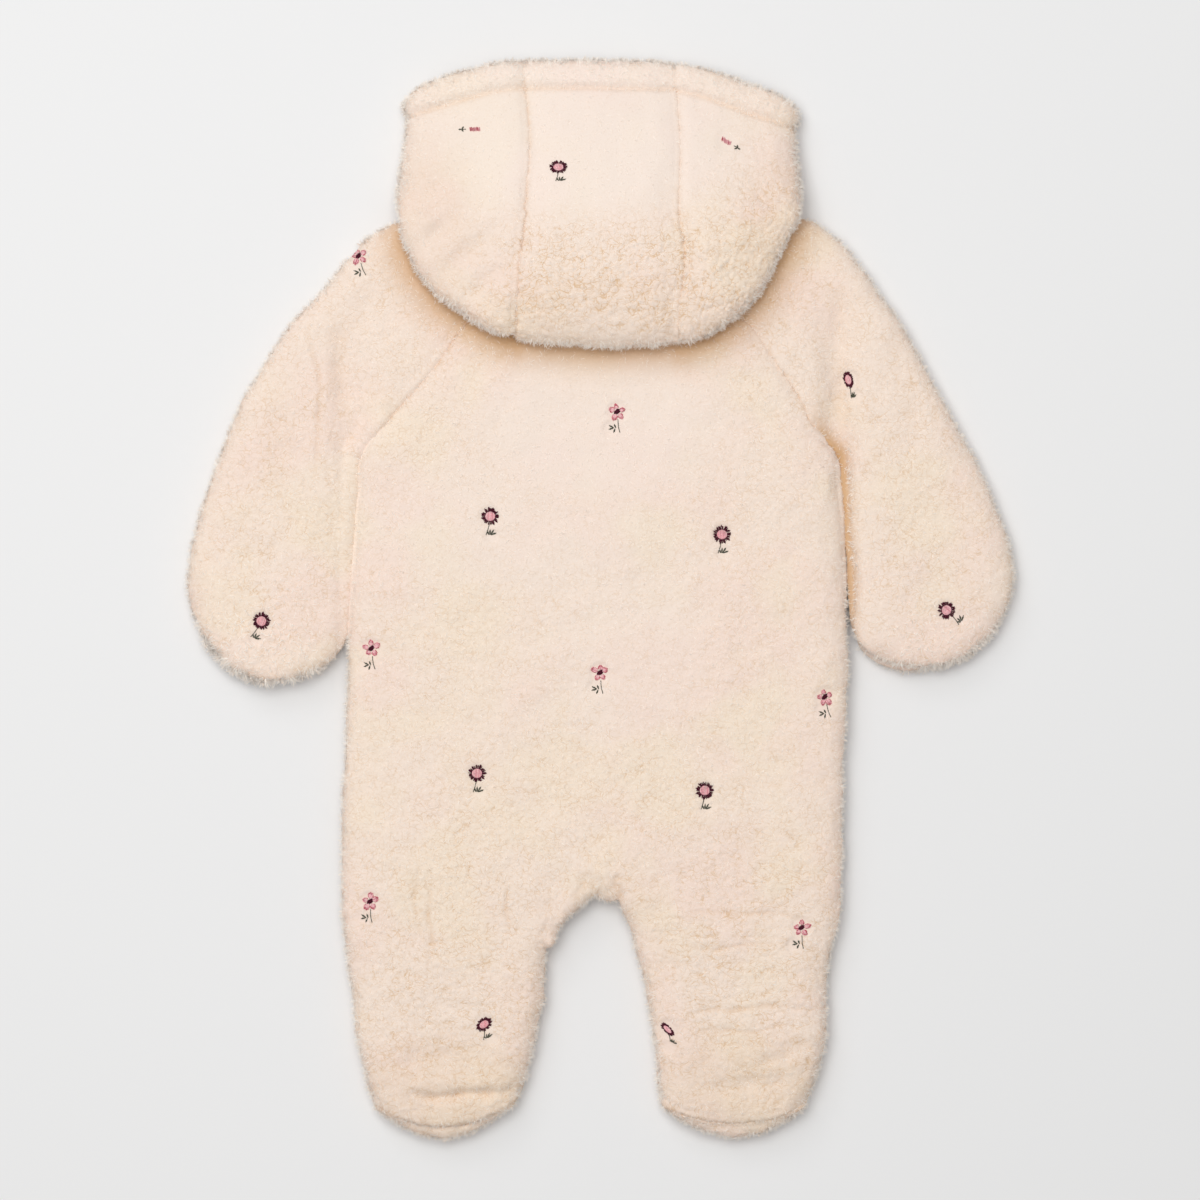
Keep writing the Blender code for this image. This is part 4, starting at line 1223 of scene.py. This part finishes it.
places_of_teeth, turns = [], []
for step in range(int((ZIP_TOP - ZIP_END) / TOOTH_PITCH)):
    y = ZIP_END + (step + 0.25) * TOOTH_PITCH
    places_of_teeth += [(0.0, y, 0.0), (0.0, y + 0.5 * TOOTH_PITCH, 0.0)]
    turns += [0.0, pi]
row = bpy.data.meshes.new("zip_teeth")
row.from_pydata(places_of_teeth, [], [])
attribute(row, "turn", turns)
tooth = link(tooth_mesh())
teeth_data = applied(row, teeth_tree(), Tooth=tooth, Resin=resin_teeth())
bpy.data.objects.remove(tooth)
teeth = link(teeth_data)
teeth.name = "zip_teeth"
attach(teeth, "suit")

nickel = satin_nickel()
for name in ("zip_slider", "zip_pull"):
    for slot in nodes[name].material_slots:
        slot.material = nickel

# ---------------------------------------------------------------------------
# Back. One panel without a centre seam, from the neck to the toes, split below the crotch
# into the two legs. It lies on the front halves, and its edges roll down to the seams.

BACK_CELL = 5.6 * MM

back = fleece_piece(
    "back_panel", ("sleeve_left", "sleeve_right", "sole_left", "sole_right"), BACK_CELL,
    creases=(
        Crease(-123.0, -317.0, -58.0, -313.0, -3.5, 3.2, 4.6),
        Crease(-128.0, -310.0, -62.0, -307.0, -2.0, 5.0, -1.6),
        Crease(-140.0, -300.0, -70.0, -292.0, 3.0, 8.0, 1.8),
        Crease(60.0, -312.0, 128.0, -303.0, -4.0, 6.0, 2.4),
        Crease(102.0, -298.0, 142.0, -285.0, 2.0, 5.0, 2.6),
        Crease(70.0, -296.0, 120.0, -290.0, 2.0, 6.0, -1.2),
        Crease(-111.5, -183.0, -111.0, -236.0, 1.0, 1.3, 1.4),
        Crease(-119.0, -170.0, -117.0, -215.0, -2.0, 1.2, 1.0),
        Crease(-62.7, -180.0, -61.0, -213.0, 1.5, 1.3, 1.4),
        Crease(57.5, -201.0, 129.0, -204.0, 2.5, 1.4, 1.3),
        Crease(52.0, -222.0, 110.0, -219.0, -2.0, 1.3, 1.0),
        Crease(57.5, -266.0, 129.0, -262.0, 3.0, 1.5, 1.5),
        Crease(62.0, -276.0, 120.0, -273.0, -2.0, 1.3, 1.2),
        Crease(1.0, -160.0, 1.0, -190.0, 0.0, 4.0, -1.8),
        Crease(8.8, -176.0, 10.5, -197.0, 1.0, 2.6, 3.0),
        Crease(-9.0, -176.0, -16.0, -192.0, -1.0, 3.0, 1.6),
        Crease(-30.0, -172.0, -42.0, -230.0, 4.0, 9.0, 1.4),
        Crease(34.0, -176.0, 48.0, -240.0, -4.0, 9.0, 1.4),
        Crease(-29.0, -212.0, -36.5, -264.0, 0.0, 6.5, -2.4),
    ),
)
flowers = embroider(back, "back_flowers")
pile = loose_fibres(back, "back_pile")

# ---------------------------------------------------------------------------
# Sleeves. One panel each, folded along the overarm and sewn from the armpit round the
# closed mitten end. Their long pile stands out from the tips.

sleeve_left = fleece_piece(
    "sleeve_left", ("back_panel", "front_left"),
    creases=(
        Crease(-190.0, 177.0, -186.0, 80.0, 6.0, 1.6, 1.3),
        Crease(-176.0, 190.0, -170.0, 120.0, 4.0, 5.0, 1.8),
        Crease(-205.0, 150.0, -200.0, 70.0, -5.0, 8.0, 1.2),
    ),
    fill=4.2 * MM, reach=8.0 * MM,
)
sleeve_right = fleece_piece(
    "sleeve_right", ("back_panel", "front_right"),
    creases=(
        Crease(152.0, 196.0, 165.0, -22.0, -1.0, 5.5, 3.0),
        Crease(186.0, 170.0, 200.0, 90.0, 5.0, 8.0, 1.2),
    ),
)
# Round each mitten's tip: centre, radius and the length of the fibres.
LONG_TUFTS = {
    "left": ((-0.226, -0.045, 0.055, 7.0 * MM),),
    "right": ((0.222, -0.036, 0.050, 5.5 * MM),),
}
for side, sleeve in (("left", sleeve_left), ("right", sleeve_right)):
    flowers = embroider(sleeve, "sleeve_" + side + "_flowers")
    pile = loose_fibres(sleeve, "sleeve_" + side + "_pile", LONG_TUFTS[side])

# ---------------------------------------------------------------------------
# Soles. One oval panel each, sewn round the closed foot, whose edge rolls up at the toe.

SOLE_CELL = 4.0 * MM

for side in ("left", "right"):
    sole = fleece_piece("sole_" + side, ("back_panel",), SOLE_CELL)
    pile = loose_fibres(sole, "sole_" + side + "_pile")

# ---------------------------------------------------------------------------
# Hood. A middle strip and two sides, folded back over the nape. Its face edge is turned
# in and stitched down all along, which makes a thick round hem.

HOOD_CELL = 5.0 * MM
# The hem's stitch line, from the left to the right: x and y in mm.
HEM_LINE = (
    (-127.0, 313.0), (-94.6, 322.7), (-71.2, 329.5), (-53.0, 332.0), (2.3, 331.6),
    (45.8, 331.4), (66.0, 326.6), (93.3, 316.2), (126.0, 306.0),
)
HEM_WIDTH = 18.0 * MM
HEM_RISE = 3.2 * MM
HEM_SINK = 1.7 * MM
HEM_STITCH = 2.1 * MM
HEM_FUZZ = 0.45
HEM_FUZZ_FROM = 3.0 * MM


def past_hem(at):
    """How far each point lies above the hem's stitch line."""
    line = np.array(HEM_LINE) * MM
    return at[:, 1] - np.interp(at[:, 0], line[:, 0], line[:, 1])


def hem_sink(at):
    """The hem's round ridge, and the trough of the stitches that hold it down."""
    past = past_hem(at)
    ridge = np.sin(pi * np.clip(past / HEM_WIDTH, 0.0, 1.0)) ** 0.7
    stitch = np.exp(-(past / HEM_STITCH) ** 2)
    return HEM_SINK * stitch - HEM_RISE * ridge


def hem_fuzz(at):
    """How many more fibres stand on the hem's roll."""
    return HEM_FUZZ * between(past_hem(at), 0.0, HEM_FUZZ_FROM)


HOOD_SEWN = {
    "hood_left": ("hood_centre",), "hood_right": ("hood_centre",),
    "hood_centre": ("hood_left", "hood_right"),
}
HOOD_CREASES = {
    "hood_left": (
        Crease(-118.0, 264.0, -62.0, 200.0, -4.0, 24.0, 7.0),
        Crease(-100.0, 210.0, -64.0, 184.0, 2.0, 5.0, 1.2),
    ),
    "hood_right": (
        Crease(52.0, 256.0, 56.0, 196.0, -2.0, 6.0, 2.2),
        Crease(64.0, 250.0, 72.0, 192.0, 2.0, 8.0, -1.6),
        Crease(110.0, 268.0, 92.0, 205.0, 6.0, 16.0, 3.0),
    ),
    "hood_centre": (),
}
for name, beside in HOOD_SEWN.items():
    panel = fleece_piece(name, beside, HOOD_CELL, HOOD_CREASES[name], extra=hem_sink)
    flowers = embroider(panel, name + "_flowers")
    pile = loose_fibres(panel, name + "_pile", extra=hem_fuzz)

# ---------------------------------------------------------------------------
# Surface, light and camera. A plain pale tabletop, a large soft light from the upper
# left and an even sky of white card, with the camera straight above.

PIXEL = 0.65 * MM           # at the height of the surface
FRAME_SIDE = 1200 * PIXEL
EYE = 3.0                   # the camera's height
SENSOR = 36.0               # its sensor's width, in mm
TABLE_SIDE = 24.0

bpy.ops.mesh.primitive_plane_add(size=TABLE_SIDE, location=(0.0, 0.0, 0.0))
table = bpy.context.object
table.name = "table"
pale = plain_material(
    "pale_table", Base_Color=(0.84, 0.84, 0.84, 1.0), Roughness=0.9, Specular_IOR_Level=0.0)
table.data.materials.append(pale[0])

world = bpy.data.worlds.new("studio")
world.use_nodes = True
sky = world.node_tree.nodes["Background"].inputs
sky["Color"].default_value = (0.985, 0.985, 0.985, 1.0)
sky["Strength"].default_value = 0.33
bpy.context.scene.world = world


def lamp(name, place, size, power, colour):
    """A round soft light at this place, turned towards the suit."""
    light = bpy.data.lights.new(name, "AREA")
    light.shape = "DISK"
    light.size = size
    light.energy = power
    light.color = colour
    holder = bpy.data.objects.new(name, light)
    bpy.context.collection.objects.link(holder)
    holder.location = place
    holder.rotation_euler = (-Vector(place)).to_track_quat("-Z", "Y").to_euler()


lamp("overhead", (-0.4, 0.5, 3.2), 2.4, 70.0, (1.0, 0.995, 0.99))
lamp("key", (-1.5, 2.4, 2.7), 2.1, 22.0, (0.985, 0.99, 1.0))

camera = bpy.data.objects.new("camera", bpy.data.cameras.new("camera"))
camera.data.lens = SENSOR * EYE / FRAME_SIDE
camera.data.sensor_width = SENSOR
camera.location = (-1.5 * PIXEL, 2.5 * PIXEL, EYE)
bpy.context.collection.objects.link(camera)
bpy.context.scene.camera = camera
bpy.context.scene.view_settings.view_transform = "Standard"
